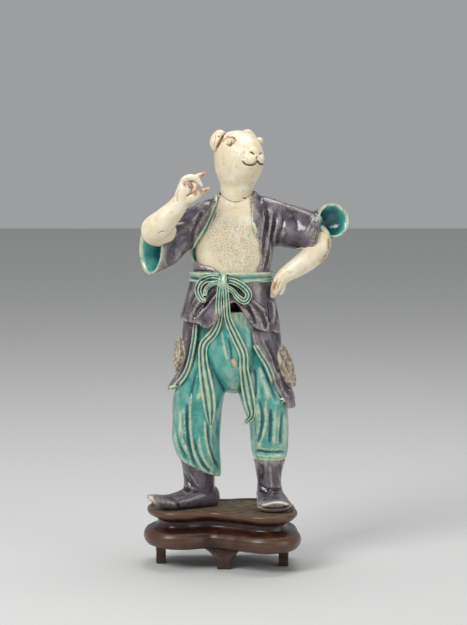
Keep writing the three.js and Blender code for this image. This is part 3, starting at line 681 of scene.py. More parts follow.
# %% Skirts
LONG_HEM = [
    (0, 98.6), (30, 101), (60, 104), (90, 106), (150, 107), (180, 107), (210, 106), (250, 106), (300, 97),
    (335, 95.8), (360, 98.6),
]
SHORT_HEM = [
    (0, 146), (60, 145), (120, 147), (180, 151), (210, 151), (232, 150), (244, 147), (256, 152), (266, 161),
    (276, 163), (286, 156), (296, 148), (310, 145), (335, 143.5), (360, 146),
]
CLOTH = 3.0
FULLNESS = 3.0


def skirt_shape(hem, top, mean, pleats):
    table = np.array(hem, float)

    def shape(points, angle, t, outward):
        turn = np.degrees(angle)
        i = np.clip(np.searchsorted(table[:, 0], turn.ravel(), side="right") - 1, 0, len(table) - 2)
        share = (turn.ravel() - table[i, 0]) / (table[i + 1, 0] - table[i, 0])
        drop = between(table, i + share)[:, 1].reshape(turn.shape) - mean
        points = pleats(points, angle, t, outward)
        low = np.clip((top - points[..., 2]) / (top - mean), 0, 1)
        points = points + (FULLNESS * np.sqrt(low) * np.sin(2 * angle) ** 2)[..., None] * outward
        points[..., 2] += low**2 * drop
        return points

    return shape


long_skirt = loft("long_skirt", [
    ((5.3, 0, 152), 29.4, 15.4), ((5.7, 0.4, 138), 31, 17), ((6.4, 0.8, 125), 33, 18),
    ((6.6, 1.4, 114), 36.2, 18.6), ((5.4, 2, 104), 41, 19), ((5.4, 2, 106), 41 - CLOTH, 19 - CLOTH),
    ((5.4, 3, 109), 22, 9),
], sides=220, steps=110, shape=skirt_shape(LONG_HEM, 152, 104, folds(8, 1.6, 0, 0.8, 6)))
SKIRT_OPENING = [
    (-15, 160), (-16.3, 137), (-18.4, 123.5), (-24.5, 112.4), (-37, 105.6), (-37, 80), (46, 80), (40.4, 96),
    (33.6, 107), (28, 120), (19.6, 135), (14.6, 160),
]
long_skirt = less(long_skirt, slab("front_opening", SKIRT_OPENING, -40, -6))
short_skirt = loft("short_skirt", [
    ((MIDDLE_X, 0, 178), 20, 11), ((5.4, 0, 176), 25, 14.6), ((5.2, -0.4, 163), 28.2, 17.4),
    ((4.8, -0.6, 148), 31.4, 19.6), ((4.8, -0.6, 149), 31.4 - CLOTH, 19.6 - CLOTH), ((5, 0, 151), 16, 8),
], sides=220, steps=90, shape=skirt_shape(SHORT_HEM, 176, 148, folds(9, 1.4, 0, 0.6, 4)))


def hip_dish(side, middle, half_wide, half_high, turn, lean):
    """A shallow oval dish of clay at the side slit of the robe."""
    rows = [(-4, 0.62), (-0.6, 1), (0.5, 0.96), (-0.3, 0.72), (-1.2, 0.3)]
    outward = np.array([side * math.cos(turn), -math.sin(turn), 0])
    sideways = np.array([math.sin(turn), side * math.cos(turn), 0])
    return loft("hip_dish", [
        (np.array(middle) + reach * outward, half_wide * share * sideways, (lean * half_high * share, 0, half_high * share))
        for reach, share in rows
    ], sides=80, steps=40)


dishes = [
    hip_dish(-1, (-28.6, -3, 128.6), 8, 11, math.radians(12), 0.12),
    hip_dish(1, (40.6, -3, 121.6), 8, 13, math.radians(24), -0.3),
]
dish_skin = np.concatenate([read(dish) for dish in dishes])
robe = pressed("robe", [trunk, right_sleeve, left_sleeve, cuff, long_skirt, short_skirt, *dishes], grain=0.52)
print("robe:", len(robe.data.polygons), "faces")

# %% [markdown]
# The folds of the robe fall from the shoulders, spread from the bow and run down the side panels. Each was
# followed in the picture: first the grooves, then the ridges beside them.

# %% Folds of the robe
ROBE_FOLDS = [
    # left front, from the collar to the waist
    (1.3, 1.0, [(266.2, 206), (267, 222), (265.2, 235), (263.8, 250), (262, 268)]),
    (-0.7, 0.9, [(270.8, 206), (271.3, 220), (269.2, 234), (267.6, 247), (264.6, 262), (262.4, 272)]),
    (1.3, 1.0, [(273.4, 212), (273.4, 227), (270.8, 243), (268, 257), (264, 273)]),
    (-0.7, 1.1, [(278.4, 212), (278.8, 221), (276, 231), (273, 241), (271, 256), (269.6, 270)]),
    (0.8, 1.4, [(283, 216), (282, 226), (278, 236), (275, 246)]),
    (-0.5, 0.8, [(260.8, 201), (263.4, 213), (264.6, 223)]),
    # left sleeve
    (0.9, 1.2, [(316.6, 222), (315.6, 230), (310.6, 237), (304.6, 241)]),
    (-0.9, 1.0, [(314.6, 215.6), (311.6, 224), (307, 231), (303.6, 234)]),
    (-0.7, 1.0, [(314, 228), (310.6, 236), (304.6, 242)]),
    (0.8, 1.6, [(318, 234), (322, 240), (320, 246)]),
    (-0.6, 1.6, [(272, 200), (286, 205.6), (300, 211.6), (312, 215.6)]),
    (0.5, 2.0, [(290, 215), (296, 222), (298, 232)]),
    # right front and the fold under the piping
    (-0.6, 0.9, [(207, 212), (200, 223), (196.4, 233), (194.6, 243)]),
    (0.8, 0.9, [(203.4, 211), (197, 221.6), (192.8, 232), (191.6, 244)]),
    (-0.5, 1.0, [(215, 199), (210, 208), (204, 219)]),
    (-0.8, 0.9, [(194.6, 266), (204, 267.6), (213.6, 270.6), (219, 274)]),
    (1.0, 0.9, [(193, 270.6), (203.6, 272), (214, 274.4)]),
    # right sleeve
    (-0.8, 1.3, [(186.6, 223.6), (174.6, 227), (167, 234.6), (163.4, 245), (163.6, 258), (168, 268)]),
    (0.8, 1.6, [(190, 232), (178, 238), (172, 250), (171.6, 260)]),
    (-0.4, 1.4, [(189, 243), (181, 251), (175, 262)]),
    # short skirt, right half
    (1.5, 0.9, [(216, 290), (209.6, 298.6), (203, 309)]),
    (-0.8, 0.9, [(216.6, 294.6), (210.6, 301.6), (203, 310.6), (195.4, 318.4)]),
    (1.2, 0.9, [(208, 298), (199, 309), (194.4, 318)]),
    (-0.7, 0.9, [(204, 296), (195.8, 307), (190.8, 318.6)]),
    (1.0, 1.1, [(196.4, 290), (188.8, 305), (184.6, 319)]),
    (-0.8, 1.0, [(194, 287), (185.8, 305), (181.4, 317)]),
    # short skirt, left half
    (-0.8, 0.9, [(243.6, 299), (251.4, 307), (255.8, 314.4), (259.4, 321.4)]),
    (1.3, 1.0, [(245.6, 303.6), (252.6, 315), (256, 325)]),
    (-0.7, 0.9, [(251, 299.4), (260, 307), (266.6, 311)]),
    (1.1, 1.0, [(252.4, 302.6), (261.4, 313), (265, 323), (266.4, 329.6)]),
    (-0.6, 0.9, [(266.4, 316), (268.4, 323), (267.6, 331)]),
    (-0.7, 1.2, [(272.4, 300), (274.4, 312), (273, 326)]),
    (1.0, 1.1, [(268.8, 300), (270.2, 312), (269.4, 323)]),
    (0.7, 1.0, [(277, 292), (277.4, 306), (277, 320)]),
    # long skirt, right panel
    (-0.6, 1.0, [(187, 328), (184.4, 350), (180, 371), (172.6, 386)]),
    (0.8, 1.0, [(190.8, 328), (188.6, 348), (183.4, 369), (175.6, 383)]),
    # long skirt, left panel
    (-0.6, 1.2, [(260, 337), (268.6, 351), (274.4, 366), (278.8, 380)]),
    (0.9, 1.2, [(266, 341), (274.4, 359), (278.8, 374)]),
    (0.8, 1.0, [(280, 364), (283, 377), (288.6, 387), (294, 386)]),
    (-0.7, 1.0, [(277.8, 372), (280.4, 384), (285.6, 395), (291, 397)]),
    (1.1, 0.9, [(281.6, 346), (281.4, 361), (284, 373)]),
]
ROBE_BACK = [  # the back falls plainly: folds from the shoulders and pleats under the sash
    (0.9, 1.8, [(-14, 222), (-12, 205), (-8, 186)]),
    (0.9, 1.8, [(30, 220), (26, 204), (19, 187)]),
    (0.6, 2.2, [(8, 220), (7, 200), (6, 186)]),
    (-0.6, 2.0, [(-6, 216), (-6, 202), (-4, 188)]),
    (-0.6, 2.0, [(22, 214), (20, 202), (15, 188)]),
    (0.9, 1.3, [(-22, 170), (-27, 155)]),
    (0.9, 1.3, [(-11, 171), (-14, 154)]),
    (0.9, 1.3, [(0, 171), (-1, 153)]),
    (0.9, 1.3, [(12, 171), (13, 153)]),
    (0.9, 1.3, [(23, 171), (27, 155)]),
    (0.9, 1.8, [(-18, 146), (-24, 125), (-28, 109)]),
    (0.9, 1.8, [(-4, 148), (-6, 128), (-8, 108)]),
    (0.9, 1.8, [(14, 148), (17, 128), (20, 108)]),
    (0.9, 1.8, [(28, 146), (34, 125), (38, 109)]),
    (0.7, 1.4, [(-24, 205), (-34, 200), (-42, 190)]),
    (0.7, 1.4, [(36, 208), (46, 205), (56, 200)]),
]
carve(robe, ROBE_FOLDS)
carve(robe, ROBE_BACK, behind=True)
apply(robe, "SMOOTH", factor=0.5, iterations=2)
thinned(robe, 0.57)
lumpy(robe, 0.15, 11)
mark_relief(robe, fine=10, broad=90)

# %% [markdown]
# The insides of the wide sleeves carry a turquoise glaze. A point belongs to the lining if the nearest
# point of the rolled sleeve lies past the turned rim.

# %% Linings and dishes
def near_rows(rows, sides, steps, shape, first):
    """Points of a rolled form, split into those before and those past a row of its table."""
    rings = oval_rings(rows, sides, steps, shape)
    split = int(round(first / (len(rows) - 1) * steps))
    return rings[:split].reshape(-1, 3), rings[split:].reshape(-1, 3)


def gap_to(points, targets):
    tree = KDTree(len(targets))
    for index, target in enumerate(targets):
        tree.insert(target, index)
    tree.balance()
    return np.array([tree.find(point)[2] for point in points])


skin = read(robe)
lining = np.zeros(len(skin))
for rows, sides, steps, shape, first in [
    (RIGHT_SLEEVE, 120, 120, folds(5, 1.2, 0.6, 1, 4), 4.4),
    (LEFT_CUFF, 100, 100, None, 3.4),
]:
    outer, inner = near_rows(rows, sides, steps, shape, first)
    near = np.flatnonzero(np.all((skin > inner.min(0) - 2) & (skin < inner.max(0) + 2), axis=1))
    to_inner, to_outer = gap_to(skin[near], inner), gap_to(skin[near], outer)
    lining[near] = np.maximum(lining[near], np.clip((to_outer - to_inner) / 0.8 + 0.5, 0, 1) * (to_inner < 2.5))
store(robe, "lining", lining)
store(robe, "dish", np.clip(1.6 - gap_to(skin, dish_skin), 0, 1))
print("lining covers", int(lining.sum()), "points")

# %% Edgings
PIPED = [  # across and lift: two rolls with a groove between
    (-1, -0.6), (-0.99, 0.3), (-0.86, 0.85), (-0.66, 1), (-0.46, 0.7), (-0.28, 0.15), (0, -0.1),
    (0.28, 0.15), (0.46, 0.6), (0.66, 0.85), (0.86, 0.7), (0.99, 0.2), (1, -0.6),
]
skin = skin_tree(robe)
edgings = [
    laid("right_piping", skin, [
        (218.6, 188.6, 1.4), (215.4, 204.6, 1.5), (210.6, 219.4, 1.5), (204.4, 231.4, 1.8), (197.8, 241.6, 2.3),
        (194.6, 250.4, 2.7), (196.4, 259, 2.9), (203.2, 262.2, 2.4), (211, 263.2, 1.9), (218, 267.4, 1.6),
        (223, 272.6, 1.3),
    ], PIPED, 2.8),
    laid("left_piping", skin, [
        (254, 192.6, 1.6), (252.6, 200, 1.7), (251.8, 211.4, 1.6), (254.2, 227, 1.7), (258, 241.4, 2.4),
        (257.8, 254.4, 3), (255.2, 267, 3), (248.8, 275.4, 2.6), (239.2, 275.2, 2.3), (231.6, 271.4, 1.7),
        (226, 272.6, 1.3),
    ], PIPED, 2.8),
    laid("right_panel_edge", skin, [
        (195.4, 324, 1.3), (194.4, 337, 1.5), (192.6, 348.6, 1.6), (190, 361.4, 1.7), (186, 372.9, 1.8),
        (180, 381.4, 1.9), (173.2, 388, 1.8), (167, 389.8, 1.2),
    ], PIPED, 2.4),
    laid("left_panel_edge", skin, [
        (247.6, 331, 1.2), (253.4, 342, 1.5), (260, 354, 1.7), (266.6, 364.6, 1.7), (271.6, 376, 1.8),
        (275.6, 389, 1.8), (279.8, 401, 1.5), (284, 408, 1),
    ], PIPED, 2.4),
    laid("left_sleeve_edge", skin, [
        (296, 249.6, 0.7), (302.6, 248.6, 0.9), (309, 250.8, 1), (315, 252.6, 1), (321.4, 251.2, 1),
        (325.6, 246, 1), (327, 240, 0.8),
    ], PIPED, 1.6),
]
edging = thinned(pressed("robe_edging", edgings, grain=0.3, brushed=2), 0.6)
mark_relief(edging, fine=8, broad=40)
print("edging:", len(edging.data.polygons), "faces")

# %% [markdown]
# ## Trousers, boots and sash
# The trousers are two wide legs under a rounded seat. They are gathered over the boots, so the hems hang
# lower on the inside of the right leg than outside. The boots have turned-up toes and soles that stand
# flat on the wood.

# %% Trousers
seat = loft("seat", [
    ((5.2, 0, 156), 20, 15), ((5.2, -0.5, 144), 21, 16.4), ((5.2, -1.6, 130), 20, 16.4),
    ((5.6, -1.6, 118), 14.6, 15.4), ((6.4, -0.6, 109.4), 9.4, 12), ((6.8, 0, 104.4), 3.6, 6),
])
right_leg = loft("right_leg", [
    ((-4, 0, 150), 14, 11), ((-7, 0, 130), 15, 12.8), ((-11.4, -0.5, 113), 15.8, 13.4),
    ((-15.2, -1.2, 100), 16, 13.8), ((-16.3, -1, 86), 15.6, 13.6), ((-17, 0, 74), (15.4, 0, -1), 13),
    ((-15.8, 1, 64), (14.8, 0, -4), 12), ((-14.6, 2, 58), (13.4, 0, -6), 10.8),
    ((-14.4, 2, 56.6), (10, 0, -4.6), 8),
], sides=120, steps=130, shape=folds(5, 1.4, 0.5, 2.6, 7))
left_leg = loft("left_leg", [
    ((14.5, 0, 150), 14, 11), ((17.6, 0, 130), 15, 12.8), ((22.4, -0.4, 113), 15, 13.2),
    ((26, -0.8, 99), 14.8, 13), ((28.8, -0.5, 85), 12.7, 12.5), ((29.2, 0, 74), 12.2, 12),
    ((29.4, 0, 66.5), 11.4, 11), ((29.4, 0, 62.6), 9.6, 9.4), ((29.4, 0, 62), 6, 6),
], sides=120, steps=130, shape=folds(5, 1.2, 0.3, 2.6, 7))
trousers = pressed("trousers", [seat, right_leg, left_leg], grain=0.5)
TROUSER_FOLDS = [
    # right leg
    (1.5, 1.0, [(186.4, 402), (187, 419), (187.6, 432), (189.2, 446), (192.2, 459), (197.4, 470)]),
    (-0.7, 0.9, [(191, 398), (189.8, 418), (191, 437), (194.4, 452), (201, 466), (208, 475)]),
    (0.9, 0.9, [(175.6, 413), (177, 435), (181.2, 449), (188.6, 461)]),
    (-0.6, 0.9, [(180, 410), (181.4, 432), (184.2, 445), (191.4, 459)]),
    (1.1, 0.9, [(194.6, 438), (196.6, 452), (203, 465), (211.6, 474)]),
    (-0.5, 0.8, [(198.6, 432), (201.2, 451), (207, 465), (215.4, 471.6)]),
    (1.1, 0.9, [(207.6, 424), (210, 446), (214.4, 459), (219.4, 470)]),
    (-0.6, 0.9, [(204.6, 420), (205.6, 436), (208.4, 450), (213, 463)]),
    (0.7, 1.2, [(216, 414), (217, 432), (220.6, 448)]),
    (0.8, 1.2, [(196, 368), (193, 384), (190.4, 398)]),
    (-0.6, 1.3, [(204, 366), (201.6, 384), (197.6, 402)]),
    (0.7, 1.4, [(211, 368), (210, 388), (207, 404)]),
    (0.8, 1.3, [(199, 340), (197.8, 360), (197.4, 376)]),
    (0.6, 1.2, [(172, 424), (171.6, 440), (174.6, 454)]),
    # left leg
    (1.2, 1.0, [(259, 399), (262.2, 414), (261.6, 428), (257.6, 443)]),
    (-0.7, 0.9, [(265.6, 399), (266, 420), (262.6, 436), (258.6, 448)]),
    (1.3, 1.0, [(271, 408), (270.6, 428), (269.2, 443)]),
    (-0.6, 0.9, [(275.4, 406), (274.4, 428), (273.6, 446)]),
    (1.2, 1.0, [(282.6, 410), (281.4, 430), (280, 446)]),
    (-0.6, 0.9, [(286.6, 416), (285.2, 434), (283.6, 448)]),
    (1.0, 1.0, [(254, 367), (255.8, 383), (255, 399)]),
    (-0.6, 1.1, [(250.6, 371), (250.6, 386), (248.8, 399)]),
    (1.0, 1.1, [(262.4, 364), (271.6, 386), (277, 403)]),
    (-0.6, 1.2, [(258.6, 366), (264, 384), (269, 400)]),
    (0.7, 1.3, [(244, 372), (246.6, 390), (250, 404)]),
    (0.6, 1.3, [(252.6, 410), (251.4, 426), (251.4, 441)]),
    # the gathered hem of the left leg, and the lip of the right hem
    (1.2, 0.9, [(255, 450.6), (264, 452), (275, 452.4), (286, 451.6)]),
    (-0.5, 0.7, [(254, 455), (265, 456.4), (277, 456.6), (286, 455.6)]),
    (-0.5, 0.8, [(176, 451), (188, 464), (203, 473), (218, 476)]),
    # the seat, and the blister in the glaze under the bow
    (0.7, 1.2, [(228, 336), (231, 352), (233, 368)]),
    (-0.5, 1.2, [(222, 330), (224, 346), (228, 362)]),
    (0.6, 1.3, [(244, 336), (242, 352), (238, 368)]),
    (-0.5, 0.9, [(233, 361.4), (235, 364.4)]),
]
TROUSER_BACK = [
    (1.0, 1.5, [(-22, 108), (-24, 90), (-24, 66)]),
    (1.0, 1.5, [(-12, 108), (-14, 86), (-14, 62)]),
    (0.8, 1.3, [(-3, 104), (-5, 84), (-6, 64)]),
    (1.0, 1.5, [(20, 108), (22, 88), (23, 68)]),
    (1.0, 1.5, [(30, 108), (32, 88), (32, 68)]),
]
carve(trousers, TROUSER_FOLDS)
carve(trousers, TROUSER_BACK, behind=True)
apply(trousers, "SMOOTH", factor=0.5, iterations=2)
thinned(trousers, 0.7)
lumpy(trousers, 0.15, 9)
mark_relief(trousers, fine=10, broad=90)
painted(trousers, "blister", [(0.9, 0.7, [(233.2, 361), (234.6, 364.6)])])
print("trousers:", len(trousers.data.polygons), "faces")


# %% Boots
def flat_sole(points, angle, t, outward):
    points[..., 2] = np.maximum(points[..., 2], RECESS_Z)
    return points


def foot(name, heel, direction, rows):
    """A foot from the heel along a direction: reach, height of its middle, half width, half height."""
    ahead = np.array([*direction, 0.0])
    across = np.array([-direction[1], direction[0], 0.0])
    start = np.array([*heel, 0.0])
    return loft(name, [
        (start + ahead * reach + z * UP, across * half, (0, 0, high)) for reach, z, half, high in rows
    ], sides=80, steps=80, shape=flat_sole)


right_boot = pressed("right_boot", [
    loft("right_shaft", [
        ((-16.3, 2, 61.4), (11.8, 0, -5.4), 10.2), ((-15.2, 2.4, 55.6), (10.4, 0, -3), 9.2),
        ((-14.6, 3, 48.6), (9.8, 0, -1), 8.6), ((-14.6, 3.4, 42), (9.8, 1, 0), 8.6),
        ((-14.8, 3.4, 35), (9, 2, 0), 7),
    ], shape=flat_sole),
    foot("right_foot", (-3.6, 10), (-0.87, -0.49), [
        (0, 38, 3.5, 3.5), (2, 38, 6.6, 6.4), (9, 39.6, 8.4, 8.2), (18, 38.6, 8.8, 7), (27, 37, 8.2, 5.4),
        (36, 36.6, 7.2, 4.8), (43, 38.6, 5.8, 3.6), (47.6, 40.4, 3.6, 2), (48.6, 40.8, 1.8, 1),
    ]),
], grain=0.45)
left_boot = pressed("left_boot", [
    loft("left_shaft", [
        ((29.3, 0, 62.4), 10, 9.8), ((29, 0, 58), 8.9, 9), ((29, 0.4, 50), 7.5, 8.2),
        ((29.3, 1, 42), 7.9, 9), ((29.4, 1, 35), 7.6, 8.6),
    ], shape=flat_sole),
    foot("left_foot", (28, 14), (0.13, -0.99), [
        (0, 38, 4, 3.6), (2, 38, 6.8, 6.2), (9, 39.6, 8.4, 8), (18, 38.4, 9, 6.8), (26, 37, 10.4, 5.2),
        (31, 36.6, 10.8, 4.6), (34.6, 37.2, 10, 3.6), (37, 37.6, 7.6, 2), (37.6, 37.8, 4, 1),
    ]),
], grain=0.45)
RIGHT_CREASES = [
    (0.9, 0.9, [(183, 470), (188, 481), (195.6, 489.4)]),
    (0.6, 0.8, [(181, 484.6), (189.6, 490.6), (199, 492.4)]),
    (-0.5, 0.9, [(189, 471), (194, 480), (200, 488)]),
    (-0.4, 0.9, [(176, 480), (181, 489), (188, 495)]),
    (0.5, 0.9, [(170, 497), (176, 502), (180, 508)]),
    (0.5, 0.6, [(152.6, 500), (163, 509), (176, 512.6), (196, 513)]),
]
LEFT_CREASES = [
    (-0.5, 1.0, [(269.6, 462), (271.2, 481), (272.6, 498)]),
    (0.8, 0.8, [(258.4, 483.6), (266.4, 489), (277, 489), (284, 486)]),
    (0.5, 0.7, [(259.4, 491), (268.4, 493), (279, 492.6)]),
    (0.5, 0.8, [(262, 464), (262.6, 474), (261, 482)]),
    (0.5, 0.8, [(279.6, 464), (280, 474), (281.6, 482)]),
    (0.6, 0.6, [(256, 504.4), (264, 508), (275, 508.6), (286, 507), (293, 503.4)]),
]
for boot, creases in (right_boot, RIGHT_CREASES), (left_boot, LEFT_CREASES):
    carve(boot, creases)
    thinned(boot, 0.7)
    lumpy(boot, 0.12, 8)
    mark_relief(boot, fine=8, broad=60)
painted(right_boot, "sole", [(0.7, 0.8, [(150, 497.6), (157, 505), (166, 511), (182, 515), (200, 515)])])
painted(left_boot, "sole", [
    (1.1, 0.8, [(255.6, 507), (264, 511), (275, 512), (286, 510.6), (294, 506)]),
    (0.3, 0.6, [(259.6, 507.6), (269, 503.6), (279, 502.4), (288, 504.4)]),
])
print("boots:", len(right_boot.data.polygons) + len(left_boot.data.polygons), "faces")

# %% [markdown]
# The sash is tied in a bow, and its ends hang to the knees. The strips were cut with a comb, which left
# three ridges and two grooves along them. The outline of the strip holds those, so they follow each bend.

# %% Sash
COMBED = [  # across and lift of the strip's outline, from one edge over the front to the other
    (-1, -0.2), (-0.97, 0.35), (-0.86, 0.8), (-0.72, 0.8), (-0.58, 0.35), (-0.45, 0), (-0.32, 0.2),
    (-0.17, 0.75), (0, 0.95), (0.17, 0.75), (0.32, 0.2), (0.45, 0), (0.58, 0.35), (0.72, 0.8),
    (0.86, 0.8), (0.97, 0.35), (1, -0.2), (0.8, -1), (-0.8, -1),
]
band = loft("belt", [
    ((MIDDLE_X, 0, 173.6), 23, 13.4), ((MIDDLE_X, 0, 174.6), 26.4, 16), ((MIDDLE_X, 0, 177.2), 25.4, 15),
    ((MIDDLE_X, 0, 179.8), 26.4, 16), ((MIDDLE_X, 0, 180.8), 23, 13.4),
], sides=140, steps=40)
knot = ball("knot", (0.4, -17, 174.6), (3.7, 3.4, 5.2))
strips = [
    ribbon("right_loop", [
        (-1, -17, 177, 1.8), (-7, -16, 177.4, 2.1), (-13, -13.8, 174.6, 2.3), (-15, -12.8, 169.4, 2.3),
        (-12.8, -16, 164.6, 1.9), (-10, -17, 163.8, 1.2),
    ], COMBED, 3.6),
    ribbon("right_strand", [
        (-1, -17.4, 174.4, 1.2), (-6, -16.4, 174, 1.4), (-9.8, -15.2, 170.6, 1.4), (-10.6, -16, 166.4, 1.1),
    ], COMBED, 3),
    ribbon("left_loop", [
        (2, -17, 176.4, 1.9), (8, -17.2, 175, 2.2), (13.6, -16.6, 171.2, 2.3), (16.2, -17.4, 167, 2.2),
        (13.6, -18.6, 163.4, 2.1), (9.6, -18.4, 165.6, 1.9), (6.6, -17.8, 169.4, 1.6), (2.6, -17, 172.4, 1.4),
    ], COMBED, 3.4),
    ribbon("right_end", [
        (-1.4, -17.6, 173, 1.8), (-2.2, -19, 162, 2), (-2.2, -17.8, 152, 2.3), (-5.6, -15.9, 143.4, 2.8),
        (-11.4, -13.6, 136, 2.9), (-12, -13.6, 127, 3), (-10.6, -14.8, 116, 3.9), (-8.8, -15, 105, 4.4),
        (-7.8, -14.1, 95, 3.6), (-7.4, -13.3, 87.4, 1.6), (-7.2, -13, 84, 0.5),
    ], COMBED, 3, count=140),
    ribbon("left_end", [
        (2, -17.6, 173, 1.8), (2.6, -19, 162, 2.1), (3.6, -18, 152, 2.4), (8.4, -18.2, 141, 3),
        (12.8, -18, 131, 3), (13.4, -16.6, 121, 3), (15, -13.2, 110, 3.8), (17, -12.4, 99, 3.6),
        (18, -11, 92, 2.4), (15, -8.6, 87.6, 1.6), (12.6, -8, 86, 0.5),
    ], COMBED, 3, count=140),
]
sash = pressed("sash", [band, knot, *strips], grain=0.3, brushed=2)
carve(sash, [
    (0.7, 0.7, [(190, 277.6), (204, 279.6), (216, 280)]),
    (0.7, 0.7, [(247, 283), (262, 281.4), (276, 278.6)]),
    (0.6, 0.6, [(219.4, 272), (220.4, 278), (219.6, 284)]),
    (0.6, 0.6, [(227.6, 273), (228.4, 279), (227.4, 285)]),
    (-0.4, 0.7, [(223.6, 271), (224.4, 278), (223.6, 286)]),
])
thinned(sash, 0.65)
lumpy(sash, 0.1, 6)
mark_relief(sash, fine=8, broad=40)
print("sash:", len(sash.data.polygons), "faces")

# %% [markdown]
# ## The stand
# The stand is carved from one block of dark hardwood. Its rim follows the boots: one curve gives its line,
# and every moulding under it keeps a fixed distance from that line.

# %% Stand
RIM = [
    (44.2, -8), (42.5, 8), (37, 19), (21, 24.5), (2, 22.4), (-16, 22), (-33, 20), (-42.5, 12), (-45.8, 0),
    (-43.5, -14), (-35, -24.4), (-22, -25.8), (-7, -22.2), (8, -29.4), (20, -37), (31, -38.6), (41, -33.4),
    (44.8, -21),
]
PROFILE = [  # height, and how far out of the rim's line
    (9.6, -3), (10.2, -0.6), (11.2, 1.5), (13, 3), (15.6, 3.6), (18, 3.1), (20, 1.6), (21.4, -1),
    (22, -3.2), (22.8, -4.9), (24.6, -5.4), (26.6, -5.4), (27.4, -4.4), (28.2, -2.2), (29.4, 0), (30.8, 1.1),
    (32.2, 1.3), (33, 0.8), (STAND_TOP, 0), (STAND_TOP, -0.7), (33.1, -1.3), (RECESS_Z, -1.7),
]


def rim_line(count):
    """Points and outward directions round the rim, evenly spaced."""
    loop = np.array(RIM[-2:] + RIM + RIM[:3], float)
    dense = between(loop, np.linspace(2, len(RIM) + 2, 40 * count + 1))
    walked = np.concatenate([[0], np.cumsum(np.linalg.norm(np.diff(dense, axis=0), axis=1))])
    even = np.linspace(0, walked[-1], count, endpoint=False)
    line = np.stack([np.interp(even, walked, dense[:, k]) for k in (0, 1)], 1)
    ahead = np.roll(line, -1, 0) - np.roll(line, 1, 0)
    ahead /= np.linalg.norm(ahead, axis=1, keepdims=True)
    return line, np.stack([ahead[:, 1], -ahead[:, 0]], 1)


line, outwards = rim_line(300)
rings = [np.column_stack([line + reach * outwards, np.full(len(line), z)]) for z, reach in PROFILE]
block = rolled("stand_block", np.array(rings))


def bracket_foot(x, y, turn):
    """A bracket foot: an apron that narrows to a small square block."""
    half, top, wide, high, thick = 4.4, 4.4, 13.2, 14, 6
    curve = [(half + (wide - half) * (f**1.7), top + (high - top) * f) for f in np.linspace(0, 1, 9)]
    outline = [(-half, 0), (half, 0), *curve, *[(-a, b) for a, b in reversed(curve)]]
    form = slab("bracket_foot", outline, -thick / 2, thick / 2)
    apply(form, "BEVEL", width=0.35 * MM, segments=2, limit_method="ANGLE")
    a, b, c = read(form).T
    cosine, sine = math.cos(turn), math.sin(turn)
    place(form, np.stack([a * cosine - b * sine + x, a * sine + b * cosine + y, c + FOOT_Z], 1))
    return form


feet = [
    bracket_foot(*spot)
    for spot in ((0.9, -18.8, 0), (4, 19.6, 0), (-38.6, 0, math.pi / 2), (38, -8, math.pi / 2))
]
stand = thinned(pressed("carved_stand", [block, *feet], grain=0.55, brushed=2), 0.7)
top = read(stand)
store(stand, "recess", (np.abs(top[:, 2] - RECESS_Z) < 0.9) * (gap_to(top, np.array(rings[-2])) > 1.0))
lumpy(stand, 0.12, 12)
mark_relief(stand, fine=8, broad=60)
print("stand:", len(stand.data.polygons), "faces")

# %% [markdown]
# ## Finishes
# A glaze is glass: it runs off the ridges and gathers in the grooves, so its colour is pale where the relief
# is high and deep where it is low. Each mesh stores how far a point stands above its surroundings, once for
# fine marks and once for broad folds. The materials read those two values and add stains, specks and a sheen.

# %% Node tools
def hex_colour(code):
    """A colour as seen on a screen, such as #8fa3b0, as the linear values that Blender works in."""
    values = [int(code[i : i + 2], 16) / 255 for i in (1, 3, 5)]
    return [v / 12.92 if v <= 0.04045 else ((v + 0.055) / 1.055) ** 2.4 for v in values] + [1.0]


def add(tree, kind, inputs=None, **settings):
    """Adds a node, sets its properties, and fills its inputs with values or with links to sockets."""
    made = tree.nodes.new(kind)
    for key, value in settings.items():
        setattr(made, key, value)
    for key, value in (inputs or {}).items():
        if isinstance(value, bpy.types.NodeSocket):
            tree.links.new(value, made.inputs[key])
        else:
            made.inputs[key].default_value = value
    return made


